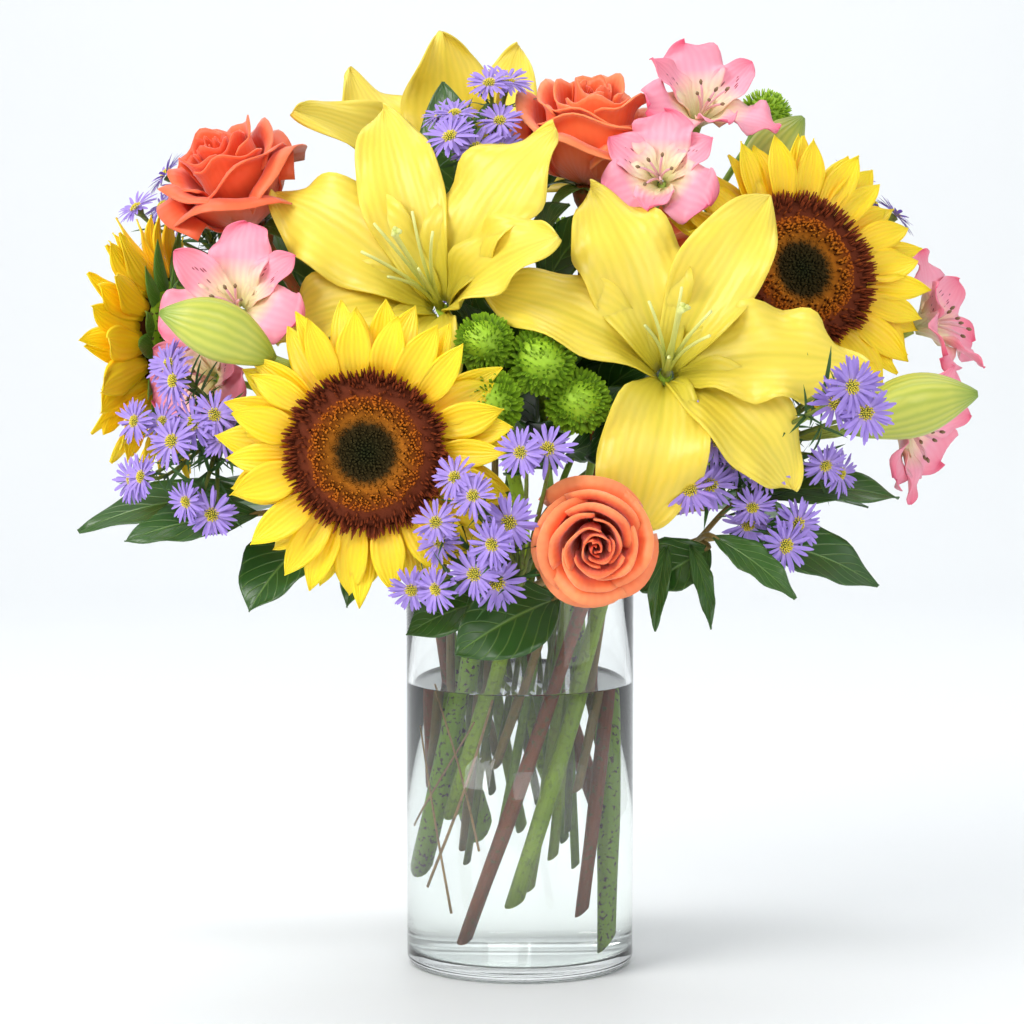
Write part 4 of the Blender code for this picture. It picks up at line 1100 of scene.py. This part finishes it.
def make_lily(name, centre, facing, tepals, finishes):
    place = facing_frame(mm(centre), facing)
    turn = place.to_3x3()
    way = turn @ UP
    draw = random.Random(name)
    petals = Grower()
    turns = TEPAL_TURNS.get(name, ((0, 0, 1),) * len(tepals))
    throat_depth = 30 * MM
    base = Matrix.Translation((0, 0, -throat_depth))
    for i, ((angle, length, tip), (roll, lift, stretch)) in enumerate(zip(tepals, turns)):
        broad = i % 2
        rolled = base @ Matrix.Rotation(math.radians(roll), 4, "X") @ base.inverted()
        grid = blade_grid(
            length * stretch * MM, (24 if broad else 20) * MM, rise=(64, tip + lift), bend=0.85,
            base=0.20, peak=0.52, point=0.78, cup=(1.15, -0.55 if broad else 0.0), rib=2.0 * MM,
            ruffle=(5.6 if broad else 3.6) * MM, waves=draw.uniform(2.4, 3.6),
            phase=draw.uniform(0, 6), twist=draw.uniform(-0.22, 0.22),
            sway=draw.uniform(-5, 5) * MM, hub=4 * MM, drop=-throat_depth + 0.6 * MM * broad,
            furrows=0.55 * MM, rows=30, columns=16)
        petals.blade(place @ spin(angle) @ rolled, grid, draw.random())
    hand_over(petals.piece(name + "_petals", finishes["tepal"], 0.7 * MM), "lily_yellow", name + "_tepals")

    threads = Grower()
    heart = mm(centre) - way * 28 * MM
    pistil = [heart + way * z * MM for z in (0, 15, 30, 45, 58)]
    pistil.append(heart + way * 62 * MM + turn @ Vector((1.5, 0, 0)) * MM)
    threads.rod(pistil, [2.2 * MM, 1.9 * MM, 1.2 * MM, 1.1 * MM, 1.3 * MM, 1.9 * MM], 12)
    for k in range(3):
        a = 2 * math.pi * k / 3
        lobe = turn @ Vector((math.cos(a), math.sin(a), 0))
        top = pistil[-1]
        threads.rod([top - way * MM, top + lobe * 1.4 * MM, top + lobe * 2.6 * MM - way * 0.6 * MM],
                    [1.2 * MM, 1.4 * MM, 0.7 * MM], 8)
    for k in range(6):
        a = math.radians(60 * k + 20 + draw.uniform(-9, 9))
        lean = turn @ Vector((math.cos(a), math.sin(a), 0))
        out = draw.uniform(13, 19)
        places = [heart + way * (2 + 50 * t) * MM + lean * (out * t ** 1.7 + 1.2) * MM
                  for t in np.linspace(0, 1, 9)]
        threads.rod(places, [1.0 * MM - 0.35 * MM * t for t in np.linspace(0, 1, 9)], 8, tone=draw.random())
    hand_over(threads.piece(name + "_threads", finishes["thread"]), "stamen", name + "_stamens")

    stalk = Grower()
    grow_stem(stalk, name, mm(centre) - way * 29.5 * MM, way, joints=0.4)
    hand_over(stalk.piece(name + "_green_stem", finishes["stem"]), "stem_green", name + "_stem")


def make_bud(name, heel, tip, thick, root, finishes):
    heel, tip = mm(heel), mm(tip)
    way = (tip - heel).normalized()
    arch = UP * (tip - heel).length * 0.05
    grower = Grower()
    t = np.linspace(0, 1, 22)
    outline = [0.16, 0.30, 0.44, 0.56, 0.66, 0.75, 0.83, 0.90, 0.95, 0.985, 1.0, 1.0, 0.985, 0.95, 0.90,
               0.83, 0.74, 0.64, 0.52, 0.39, 0.26, 0.10]
    spine = [heel.lerp(tip, s) + arch * math.sin(math.pi * s) for s in t]
    grower.rod(spine, [thick * MM * r for r in outline], 30, lobes=3, lobe_depth=0.09)
    points = hermite(mm(root), UP, heel + way * 3 * MM, way, 10)
    grower.rod(points, [2.3 * MM] * 8 + [2.5 * MM, 2.8 * MM, 2.4 * MM], 12, slant=0.8, tone=0.3)
    hand_over(grower.piece(name + "_closed", finishes["bud"]), "bud_green", name)


def make_lilies(settings):
    finishes = {"tepal": lily_finish(tuple(settings.lily_yellow)),
                "thread": floret_finish("lily_thread", (0.50, 0.55, 0.08), (0.78, 0.80, 0.30), 0.4),
                "stem": stem_finish("lily_stem", (0.22, 0.38, 0.03), (0.12, 0.16, 0.02), 0.4)}
    for name, row in LILIES.items():
        make_lily(name, *row, finishes)


def make_buds(settings):
    finishes = {"bud": bud_finish(tuple(settings.bud_green))}
    for name, row in BUDS.items():
        make_bud(name, *row, finishes)


# ---------------------------------------------------------------- roses

def rose_petal(span, reach, top, low, roll, tuck, dip):
    """One wrapped rose petal: it rises from the hip, swells to reach and rolls out at its lip.

    span is half its width round the bloom in radians, and tuck draws one side in under the next.
    """
    steps = 14
    s = np.linspace(-1, 1, steps + 1)[None, :]
    t = np.linspace(0, 1, steps + 1)[:, None]
    swell = np.sin(np.clip(t * 1.25, 0, 1) * math.pi / 2) ** 0.75
    radius = 1.5 * MM + (reach - 1.5 * MM) * swell + tuck * s * t
    curl = np.clip((t - 0.72) / 0.28, 0, 1) ** 2
    radius = radius + roll * curl * (1 - 0.25 * s ** 2) - reach * 0.10 * (1 - curl) * np.clip(t - 0.6, 0, 1)
    edge = 1 - dip * np.abs(s) ** 2.6 + 0.05 * np.cos(s * math.pi * 2)
    height = low + (top - low) * t ** 0.9 * edge - np.abs(roll) * 0.55 * curl
    angle = s * span * (0.35 + 0.65 * np.sin(np.clip(t * 1.5, 0, 1) * math.pi / 2))
    grid = np.empty((steps + 1, steps + 1, 3))
    grid[..., 0] = radius * np.cos(angle)
    grid[..., 1] = radius * np.sin(angle)
    grid[..., 2] = height
    return grid


def make_rose(name, centre, facing, radius, depth, redness, openness, finishes):
    place = facing_frame(mm(centre), facing)
    way = place.to_3x3() @ UP
    draw = random.Random(name)
    low, high, full = -depth * MM / 2, depth * MM / 2, radius * openness * MM
    petals = Grower()
    # (petals in the whorl, reach, lip height, half span, roll, tuck, dip, tone, which is painted shade,
    # deepest on the inner whorls)
    whorls = ((2, 0.11, 0.96, 1.90, -0.02, 0.05, 0.05, 0.75), (3, 0.25, 1.00, 1.50, 0.02, 0.08, 0.08, 0.5),
              (3, 0.42, 1.01, 1.35, 0.07, 0.10, 0.12, 0.3), (4, 0.60, 0.98, 1.12, 0.15, 0.11, 0.18, 0.15),
              (4, 0.76, 0.90, 1.10, 0.26, 0.11, 0.34, 0.1), (5, 0.84, 0.74, 0.95, 0.36, 0.10, 0.46, 0.15))
    turned = 0.0
    for whorl, (count, reach, lip, span, roll, tuck, dip, tone) in enumerate(whorls):
        for i in range(count):
            grid = rose_petal(span * draw.uniform(0.90, 1.10), full * reach * draw.uniform(0.93, 1.05),
                              low + (high - low) * lip * draw.uniform(0.92, 1.02), low,
                              full * roll * draw.uniform(0.7, 1.3), full * tuck, dip)
            angle = turned + 360 * i / count + draw.uniform(-8, 8)
            tip = Matrix.Rotation(math.radians(draw.uniform(-7, 7)), 4, "X")
            # Each petal's tone is its whorl's painted shade, the rose's own redness and a little at random
            petals.blade(place @ spin(angle) @ tip, grid,
                         min(1, tone + redness + draw.uniform(-0.1, 0.15)))
        turned += GOLDEN_DEGREES / 2 + whorl * 11
    hand_over(petals.piece(name + "_petals", finishes["petal"], 0.7 * MM), "rose_orange", name + "_bloom")

    stalk = Grower()
    grow_stem(stalk, name, mm(centre) + way * (low - 8 * MM), way, joints=0.8)
    hip = [(0, -12), (2.9, -11.4), (4.6, -8.5), (5.6, -5), (5.2, -2), (4.4, -0.4), (0, -0.3)]
    stalk.turned(place @ Matrix.Translation((0, 0, low)), outline_mm(hip), 24)
    hand_over(stalk.piece(name + "_green_stem", finishes["stem"]), "stem_green", name + "_stem")
    sepals = Grower()
    for i in range(5):
        grid = blade_grid(24 * MM, 4.2 * MM, rise=(20, -60 + draw.uniform(-25, 40)), base=0.8, peak=0.2,
                          point=1.2, cup=(0.5, 0.3), twist=draw.uniform(-0.6, 0.6), hub=3.5 * MM,
                          drop=low - 1.5 * MM, rows=10, columns=6)
        sepals.blade(place @ spin(72 * i + draw.uniform(-8, 8)), grid, draw.random())
    hand_over(sepals.piece(name + "_sepals", finishes["sepal"], 0.4 * MM), "leaf_green")


def make_roses(settings):
    finishes = {"petal": rose_finish(tuple(settings.rose_coral)),
                "stem": stem_finish("rose_stem", (0.17, 0.050, 0.018), (0.07, 0.12, 0.02), 0.6),
                "sepal": leaf_finish((0.05, 0.13, 0.02), (0.14, 0.28, 0.05))}
    for name, row in ROSES.items():
        make_rose(name, *row, finishes)


# ---------------------------------------------------------------- alstroemeria

def make_alstroemeria(name, centre, facing, length, finishes):
    place = facing_frame(mm(centre), facing)
    turn = place.to_3x3()
    way = turn @ UP
    draw = random.Random(name)
    petals = Grower()
    for i in range(6):
        broad = i % 2
        streaked = i in (0, 2)
        grid = blade_grid(
            length * MM * draw.uniform(0.96, 1.06), (14.5 if broad else 9.6) * MM,
            rise=(58, (6 if broad else 22) + draw.uniform(-14, 12)), bend=0.9, base=0.16,
            peak=0.68 if broad else 0.6, point=0.5 if broad else 0.75, cup=(1.1, -0.15 if broad else 0.35),
            rib=0.5 * MM, ruffle=(3.0 if broad else 1.4) * MM, waves=2.8, phase=draw.uniform(0, 6),
            twist=draw.uniform(-0.3, 0.3), sway=draw.uniform(-3, 3) * MM, hub=2.2 * MM,
            drop=(-16 + 0.5 * broad) * MM, furrows=0.25 * MM, rows=18, columns=12)
        tone = 0.45 * draw.random() if not streaked else 0.55 + 0.45 * draw.random()
        petals.blade(place @ spin(60 * i + 30 + draw.uniform(-6, 6)), grid, tone)
    heart = mm(centre) - way * 15 * MM
    hand_over(petals.piece(name + "_petals", finishes["tepal"], 0.4 * MM), "alstroemeria_pink", name)
    threads, anthers = Grower(), Grower()
    for k in range(6):
        a = math.radians(60 * k + draw.uniform(-15, 15))
        lean = turn @ Vector((math.cos(a), math.sin(a) - 0.6, 0))
        reach = draw.uniform(17, 23)
        places = [heart + way * reach * t * MM + lean * 7 * t ** 2 * MM for t in np.linspace(0, 1, 7)]
        threads.rod(places, [0.6 * MM] * 6 + [0.4 * MM], 6)
        tip = (places[-1] - places[-2]).normalized()
        anthers.rod([places[-1] - tip * 0.5 * MM, places[-1] + tip * 0.8 * MM, places[-1] + tip * 2.0 * MM],
                    [0.5 * MM, 0.85 * MM, 0.4 * MM], 8)
    hand_over(threads.piece(name + "_threads", finishes["thread"]), "alstroemeria_pink")
    hand_over(anthers.piece(name + "_anthers", finishes["anther"]), "disc_brown")


def make_alstroemeria_stem(name, fork, blooms, finishes):
    fork = mm(fork)
    way_in = fork - lines[name][1]
    green = Grower()
    grow_stem(green, name, fork + way_in.normalized() * 0.5 * MM, way_in, joints=1.0, sides=12)
    green.turned(Matrix.Translation(fork), [(0, -2.6 * MM), (1.9 * MM, -1.8 * MM), (2.5 * MM, 0),
                                            (1.9 * MM, 1.8 * MM), (0, 2.6 * MM)], 12)
    for bloom in blooms:
        centre, facing, _ = ALSTROEMERIAS[bloom]
        way = Vector(facing).normalized()
        end = mm(centre) - way * 17 * MM
        points = twig_points(fork, way_in, end, way)
        green.rod(points, [1.5 * MM] * (len(points) - 3) + [1.8 * MM, 2.4 * MM, 2.2 * MM], 10)
    hand_over(green.piece(name + "_green", finishes["stem"]), "stem_green", name)


def make_alstroemerias(settings):
    finishes = {"tepal": alstroemeria_finish(tuple(settings.alstroemeria_pink)),
                "thread": floret_finish("alstroemeria_thread", (0.85, 0.70, 0.55), (0.85, 0.40, 0.50), 0.5),
                "anther": floret_finish("alstroemeria_anther", (0.16, 0.10, 0.05), (0.30, 0.20, 0.10), 0.8),
                "stem": stem_finish("alstroemeria_stem", (0.20, 0.32, 0.06), (0.25, 0.20, 0.06), 0.3)}
    for name, row in ALSTROEMERIAS.items():
        make_alstroemeria(name, *row, finishes)
    for name, row in ALSTROEMERIA_STEMS.items():
        make_alstroemeria_stem(name, *row, finishes)


# ---------------------------------------------------------------- asters

def make_asters(name, centre, facing, fork, places, finishes):
    """A spray of small daisies on thin twigs, with needle leaves along the twigs."""
    frame_of = facing_frame(mm(centre), facing)
    front = frame_of.to_3x3() @ UP
    fork = mm(fork)
    way_in = fork - lines[name][1]
    draw = random.Random(name)
    green = Grower()
    grow_stem(green, name, fork, way_in, tip_share=0.9, joints=0.5, sides=10)
    blooms, nodes = [], []
    whole = [(*place, -3 * (i % 3))[:3] for i, place in enumerate(places)]
    # Between the outer blooms come others, set lower and further back
    for i, (across, up, forward) in enumerate(whole[:]):
        turn = i * GOLDEN_ANGLE
        whole.append((across + 11 * math.cos(turn), up + 10 * math.sin(turn), forward - draw.uniform(5, 9)))
    for across, up, forward in whole:
        face = frame_of @ mm((across, up, forward))
        way = ((face - fork).normalized() * 0.5 + front).normalized()
        look = (way + Vector([draw.uniform(-0.28, 0.28) for _ in range(3)])).normalized()
        points = twig_points(fork, way_in, face - look * 4.5 * MM, look, 10)
        green.rod(points, [1.0 * MM] * 7 + [0.9 * MM, 0.85 * MM, 0.9 * MM, 1.3 * MM], 8, tone=draw.random())
        cup = [(0, -4.8), (1.4, -4.6), (2.3, -3.0), (2.7, -0.9), (2.2, -0.5), (0, -0.5)]
        green.turned(facing_frame(face, look), outline_mm(cup), 12, 0.6)
        blooms.append((face, look, draw.uniform(0.80, 1.04)))
        for a, b in zip(points[2:9:2], points[3:10:2]):
            if (a - mm(ROSES["rose_front"][0])).length > 36 * MM:
                nodes.append((a, b - a, draw.uniform(0.7, 1.2)))
    hand_over(green.piece(name + "_twigs", finishes["twig"]), "stem_green", name)
    for label, lean, size, count, seed in (("rays", 1.46, 1.0, 24, 3), ("upper_rays", 1.20, 0.92, 13, 11)):
        piece = floret_heads(f"{name}_{label}", blooms, finishes["ray"], finishes["violet"], Count=count,
                             Turn=2 * math.pi / count, Inner_radius=2.2 * MM, Outer_radius=2.2 * MM,
                             Lean_inside=lean, Lean_outside=lean, Size_inside=size, Size_outside=size,
                             Unevenness=0.16, Seed=seed)
        hand_over(piece, "aster_violet")
    eyes = floret_heads(f"{name}_eyes", blooms, finishes["eye"], finishes["gold"], Count=46,
                        Outer_radius=3.0 * MM, Dome=1.2 * MM, Lean_inside=0.0, Lean_outside=0.9,
                        Unevenness=0.1, Seed=5)
    hand_over(eyes, "ray_yellow")
    needles = floret_heads(f"{name}_needles", nodes, finishes["needle"], finishes["fern"], Count=4,
                           Inner_radius=0.7 * MM, Outer_radius=0.7 * MM, Lean_inside=0.6,
                           Lean_outside=1.1, Unevenness=0.35, Seed=9)
    hand_over(needles, "leaf_green")


def make_all_asters(settings):
    ray = ray_part(10.2 * MM, 0.92 * MM, rise=(0, -16), base=0.55, peak=0.6, point=0.6, cup=(0.7, 0.3),
                   rows=5, columns=2)
    needle = ray_part(15 * MM, 0.85 * MM, rise=(0, -25), base=0.8, peak=0.3, point=1.0, cup=(0.5, 0.5),
                      rows=5, columns=2)
    finishes = {"violet": aster_finish(tuple(settings.aster_violet)),
                "gold": floret_finish("aster_eye", (0.50, 0.40, 0.02), (0.95, 0.80, 0.07)),
                "twig": stem_finish("aster_twig", (0.10, 0.15, 0.035), (0.10, 0.05, 0.04), 0.4),
                "fern": floret_finish("aster_needle", (0.035, 0.10, 0.02), (0.06, 0.17, 0.03)),
                "ray": floret_part("aster_ray_part", ray),
                "eye": floret_part("aster_eye_part", spike(0.9 * MM, 0.34 * MM, 0.26 * MM)),
                "needle": floret_part("aster_needle_part", needle)}
    for name, row in ASTERS.items():
        make_asters(name, *row, finishes)


# ---------------------------------------------------------------- button pompons

def make_pompons(name, fork, blooms, finishes):
    fork = mm(fork)
    way_in = fork - lines[name][1]
    draw = random.Random(name)
    green, hearts = Grower(), Grower()
    grow_stem(green, name, fork, way_in, tip_share=0.9, joints=0.6, sides=12)
    heads_here = []
    for centre, radius in blooms:
        centre = mm(centre)
        way = (centre - fork).normalized()
        points = twig_points(fork, way_in, centre - way * radius * MM * 0.6, way)
        green.rod(points, [1.5 * MM] * (len(points) - 2) + [2.0 * MM, 3.2 * MM], 10)
        ball = radius * MM * 0.66
        hearts.turned(facing_frame(centre, way), [(ball * math.sin(a), -ball * math.cos(a))
                                                  for a in np.linspace(0, math.pi, 14)], 24)
        heads_here.append((centre, way, radius / 15.5))
    hand_over(green.piece(name + "_twigs", finishes["stem"]), "stem_green", name)
    hand_over(hearts.piece(name + "_hearts", finishes["green"]), "pompon_green")
    quills = floret_heads(name + "_quills", heads_here, finishes["quill"], finishes["green"], Count=330,
                          Outer_radius=0.0, Ball_radius=10.0 * MM, Lean_inside=0.02, Lean_outside=2.15,
                          Size_inside=0.62, Size_outside=1.1, Unevenness=0.12, Seed=draw.randint(1, 99))
    hand_over(quills, "pompon_green")


def make_all_pompons(settings):
    dark = tuple(c * 0.45 for c in settings.pompon_green)
    light = tuple(min(1.0, c * k) for c, k in zip(settings.pompon_green, (1.5, 1.25, 1.4)))
    quill = ray_part(4.9 * MM, 1.1 * MM, rise=(-14, 34), base=0.6, peak=0.6, point=0.5, cup=(1.5, 1.0),
                     rows=5, columns=4)
    finishes = {"green": floret_finish("pompon_floret", dark, light),
                "quill": floret_part("pompon_quill_part", quill),
                "stem": stem_finish("pompon_stem", (0.13, 0.24, 0.04), (0.10, 0.12, 0.03), 0.3)}
    for name, row in POMPONS.items():
        make_pompons(name, *row, finishes)


# ---------------------------------------------------------------- leaves

def grow_leaf(grower, base, tip, width, facing, draw):
    """One leathery blade from base to tip, arched a little, with a wavy edge."""
    along = tip - base
    x = along.normalized()
    z = (facing - x * facing.dot(x)).normalized()
    matrix = Matrix((x, z.cross(x), z)).transposed().to_4x4()
    matrix.translation = base
    arch = draw.uniform(14, 22)
    grid = blade_grid(along.length * 1.03, width / 2, rise=(arch, -arch * 1.2), base=0.12, peak=0.42,
                      point=1.0, cup=(0.5, 0.22), rib=0.8 * MM, ruffle=1.1 * MM, waves=draw.uniform(2, 3.5),
                      phase=draw.uniform(0, 6), twist=draw.uniform(-0.25, 0.25),
                      sway=draw.uniform(-3, 3) * MM, rows=22, columns=12)
    grower.blade(matrix, grid, draw.random())


def make_foliage(name, twig_end, leaves, finishes):
    twig_end = mm(twig_end)
    way_in = twig_end - lines[name][1]
    draw = random.Random(name)
    green, blades = Grower(), Grower()
    grow_stem(green, name, twig_end, way_in, joints=1.0, sides=12)
    for base, tip, width, facing in leaves:
        base, tip = mm(base), mm(tip)
        green.rod(twig_points(twig_end, base - twig_end, base + (tip - base) * 0.06, tip - base, 8),
                  [1.3 * MM] * 8 + [0.8 * MM], 8, tone=draw.random())
        grow_leaf(blades, base, tip, width * MM, Vector(facing), draw)
    hand_over(green.piece(name + "_twigs", finishes["stem"]), "stem_green", name)
    hand_over(blades.piece(name + "_leaves", finishes["leaf"], 0.45 * MM), "leaf_green")


def make_inner_leaves(count, finishes):
    """Leaves that fill the middle of the bunch, under the flowers."""
    draw = random.Random("inner leaves")
    blades = Grower()
    middle = Vector((0, -8, 232)) * MM
    spread = (86, 74, 92)
    for i in range(count):
        share = (i + 0.5) / count
        lift, turn = share ** 0.8, i * GOLDEN_ANGLE
        level = math.sqrt(1 - lift * lift)
        out = Vector((math.cos(turn) * level, math.sin(turn) * level, lift))
        reach = Vector([o * s * MM for o, s in zip(out, spread)])
        base, tip = middle + reach * 0.42, middle + reach * draw.uniform(0.92, 1.06)
        side = out.cross(UP).normalized()
        if level < 0.3:
            facing = (out + UP * 0.4).cross(side)
        else:
            facing = UP * 0.7 + out * 0.5 + side * draw.uniform(-1, 1)
        tip = tip + side * draw.uniform(-12, 12) * MM
        grow_leaf(blades, base, tip, draw.uniform(24, 34) * MM, facing, draw)
    for base, tip, width, facing in GAP_LEAVES:
        grow_leaf(blades, mm(base), mm(tip), width * MM, Vector(facing), draw)
    hand_over(blades.piece("inner_leaves", finishes["leaf"], 0.45 * MM), "leaf_green")
    twigs = Grower()
    for end, other, radius in LOOSE_TWIGS:
        bow = Vector([draw.uniform(-2, 2) for _ in range(3)])
        points = [mm(end).lerp(mm(other), t) + bow * math.sin(math.pi * t) * MM for t in np.linspace(0, 1, 9)]
        twigs.rod(points, [radius * MM * (1 - 0.3 * t) for t in np.linspace(0, 1, 9)], 8, tone=draw.random())
    hand_over(twigs.piece("loose_twigs", finishes["twig"]), "stem_green")


def make_all_foliage(settings):
    finishes = {"leaf": leaf_finish(tuple(settings.leaf_green), tuple(settings.vein_green)),
                "stem": stem_finish("leafy_twig", (0.17, 0.13, 0.05), (0.10, 0.18, 0.04), 0.4),
                "twig": stem_finish("dry_twig", (0.36, 0.25, 0.12), (0.20, 0.12, 0.05), 0.4)}
    for name, row in FOLIAGE.items():
        make_foliage(name, *row, finishes)
    make_inner_leaves(settings.inner_leaves, finishes)


# ---------------------------------------------------------------- settings

def colour_property(name, description, default):
    return FloatVectorProperty(name=name, description=description, default=default, size=3, min=0, max=1,
                               subtype="COLOR")


class VaseSettings(bpy.types.PropertyGroup):
    glass_tint: colour_property("Glass tint", "What the wall's glass does to light", (0.975, 0.99, 0.985))
    water_tint: colour_property("Water tint", "What the water does to light", (0.975, 1.0, 0.98))


class FlowerSettings(bpy.types.PropertyGroup):
    sunflower_yellow: colour_property("Sunflower yellow", "The petals' colour", (1.0, 0.72, 0.008))
    disc_brown: colour_property("Disc brown", "The outer ring of the seed head", (0.14, 0.026, 0.009))
    lily_yellow: colour_property("Lily yellow", "The tepals' colour", (0.84, 0.64, 0.065))
    bud_green: colour_property("Bud green", "The closed lily buds' colour", (0.50, 0.52, 0.075))
    rose_coral: colour_property("Rose coral", "The rose petals' colour", (0.98, 0.175, 0.045))
    alstroemeria_pink: colour_property("Alstroemeria pink", "The tepals' colour", (0.88, 0.27, 0.36))
    aster_violet: colour_property("Aster violet", "The ray florets' colour", (0.27, 0.17, 0.62))
    pompon_green: colour_property("Pompon green", "The quills' colour", (0.32, 0.62, 0.025))


class GreenerySettings(bpy.types.PropertyGroup):
    leaf_green: colour_property("Leaf green", "The leaves' upper side", (0.018, 0.065, 0.010))
    vein_green: colour_property("Vein green", "The midrib and side veins", (0.17, 0.30, 0.06))
    inner_leaves: IntProperty(name="Inner leaves", description="Leaves that fill the middle of the bunch",
                              default=52, min=0, max=90)


class StageSettings(bpy.types.PropertyGroup):
    camera_distance: FloatProperty(name="Camera distance", description="From the vase's axis to the camera",
                                   default=1.64, unit="LENGTH")
    camera_height: FloatProperty(name="Camera height", description="Above the table", default=0.35,
                                 unit="LENGTH")
    camera_pitch: FloatProperty(name="Camera pitch", description="How far the camera looks down",
                                default=math.radians(4.87), subtype="ANGLE")
    camera_lens: FloatProperty(name="Camera lens", description="Focal length", default=125.34, unit="CAMERA")
    floor_colour: colour_property("Floor colour", "The pale floor and wall", (0.86, 0.885, 0.90))
    key_power: FloatProperty(name="Key light", description="The large soft light at the front left",
                             default=25, unit="POWER")
    fill_power: FloatProperty(name="Fill light", description="The soft light at the right", default=7,
                              unit="POWER")
    front_power: FloatProperty(name="Front light", description="The soft light above the camera", default=12,
                               unit="POWER")
    room_light: FloatProperty(name="Room light", description="Strength of the even light from all round",
                              default=0.55)


# ---------------------------------------------------------------- operators

class BOUQUET_OT_stage(bpy.types.Operator):
    """Adds the pale floor, the soft studio lights and the camera"""
    bl_idname = "bouquet.stage"
    bl_label = "Stage"

    def execute(self, context):
        values = context.scene.bouquet_stage
        set_camera((CAMERA_SIDE, -values.camera_distance, values.camera_height), values.camera_pitch,
                   values.camera_lens)
        make_floor(tuple(values.floor_colour))
        add_light("key_light", (-1.15, -1.05, 1.15), BUNCH_MIDDLE, (0.9, 0.9), values.key_power,
                  (1.0, 0.985, 0.96))
        add_light("fill_light", (1.5, -0.9, 0.7), BUNCH_MIDDLE, (1.0, 1.4), values.fill_power,
                  (0.96, 0.98, 1.0))
        add_light("front_light", (0.25, -1.9, 1.0), BUNCH_MIDDLE, (1.0, 0.7), values.front_power)
        add_light("wall_light", (0, 0.5, 2.4), WALL_TARGET, (2.4, 0.8), WALL_POWER)
        set_world((0.95, 0.97, 1.0), values.room_light)
        context.scene.view_settings.view_transform = "Standard"
        return {"FINISHED"}


class BOUQUET_OT_vase(bpy.types.Operator):
    """Makes the glass vase and the water in it"""
    bl_idname = "bouquet.vase"
    bl_label = "Vase and water"

    def execute(self, context):
        values = context.scene.bouquet_vase
        make_vase(tuple(values.glass_tint))
        make_water(tuple(values.water_tint))
        return {"FINISHED"}


class BOUQUET_OT_sunflowers(bpy.types.Operator):
    """Makes the sunflowers, each with its seed head, petals, sepals and stem"""
    bl_idname = "bouquet.sunflowers"
    bl_label = "Sunflowers"

    def execute(self, context):
        make_sunflowers(context.scene.bouquet_flowers)
        return {"FINISHED"}


class BOUQUET_OT_lilies(bpy.types.Operator):
    """Makes the open lilies, with their threads and stems"""
    bl_idname = "bouquet.lilies"
    bl_label = "Lilies"

    def execute(self, context):
        make_lilies(context.scene.bouquet_flowers)
        return {"FINISHED"}


class BOUQUET_OT_buds(bpy.types.Operator):
    """Makes the closed lily buds on their short stalks"""
    bl_idname = "bouquet.buds"
    bl_label = "Lily buds"

    def execute(self, context):
        make_buds(context.scene.bouquet_flowers)
        return {"FINISHED"}


class BOUQUET_OT_roses(bpy.types.Operator):
    """Makes the roses, whorl by whorl, with their hips and stems"""
    bl_idname = "bouquet.roses"
    bl_label = "Roses"

    def execute(self, context):
        make_roses(context.scene.bouquet_flowers)
        return {"FINISHED"}


class BOUQUET_OT_alstroemerias(bpy.types.Operator):
    """Makes the alstroemeria blooms and their forked stems"""
    bl_idname = "bouquet.alstroemerias"
    bl_label = "Alstroemeria"

    def execute(self, context):
        make_alstroemerias(context.scene.bouquet_flowers)
        return {"FINISHED"}


class BOUQUET_OT_asters(bpy.types.Operator):
    """Makes the sprays of small violet asters"""
    bl_idname = "bouquet.asters"
    bl_label = "Asters"

    def execute(self, context):
        make_all_asters(context.scene.bouquet_flowers)
        return {"FINISHED"}


class BOUQUET_OT_pompons(bpy.types.Operator):
    """Makes the sprays of green button pompons"""
    bl_idname = "bouquet.pompons"
    bl_label = "Pompons"

    def execute(self, context):
        make_all_pompons(context.scene.bouquet_flowers)
        return {"FINISHED"}


class BOUQUET_OT_foliage(bpy.types.Operator):
    """Makes the leafy twigs and the leaves inside the bunch"""
    bl_idname = "bouquet.foliage"
    bl_label = "Leaves"

    def execute(self, context):
        make_all_foliage(context.scene.bouquet_greenery)
        return {"FINISHED"}


STEPS = (BOUQUET_OT_stage, BOUQUET_OT_vase, BOUQUET_OT_sunflowers, BOUQUET_OT_lilies, BOUQUET_OT_buds,
         BOUQUET_OT_roses, BOUQUET_OT_alstroemerias, BOUQUET_OT_asters, BOUQUET_OT_pompons,
         BOUQUET_OT_foliage)
SETTINGS = {"bouquet_vase": VaseSettings, "bouquet_flowers": FlowerSettings,
            "bouquet_greenery": GreenerySettings, "bouquet_stage": StageSettings}


class BOUQUET_PT_panel(bpy.types.Panel):
    """Lists the steps that build the bunch, and their settings"""
    bl_idname = "BOUQUET_PT_panel"
    bl_label = "Bouquet"
    bl_space_type = "VIEW_3D"
    bl_region_type = "UI"
    bl_category = "Bouquet"

    def draw(self, context):
        for step in STEPS:
            self.layout.operator(step.bl_idname)
        for name, group in SETTINGS.items():
            box = self.layout.box()
            for field in group.__annotations__:
                box.prop(getattr(context.scene, name), field)


def register():
    for group in SETTINGS.values():
        bpy.utils.register_class(group)
    for name, group in SETTINGS.items():
        setattr(bpy.types.Scene, name, PointerProperty(type=group))
    for step in STEPS:
        bpy.utils.register_class(step)
    bpy.utils.register_class(BOUQUET_PT_panel)


def unregister():
    bpy.utils.unregister_class(BOUQUET_PT_panel)
    for step in reversed(STEPS):
        bpy.utils.unregister_class(step)
    for name in SETTINGS:
        delattr(bpy.types.Scene, name)
    for group in SETTINGS.values():
        bpy.utils.unregister_class(group)


def main():
    register()
    for step in STEPS:
        group, label = step.bl_idname.split(".")
        getattr(getattr(bpy.ops, group), label)()
    while floret_parts:
        bpy.data.objects.remove(floret_parts.pop())


if __name__ == "__main__":
    main()
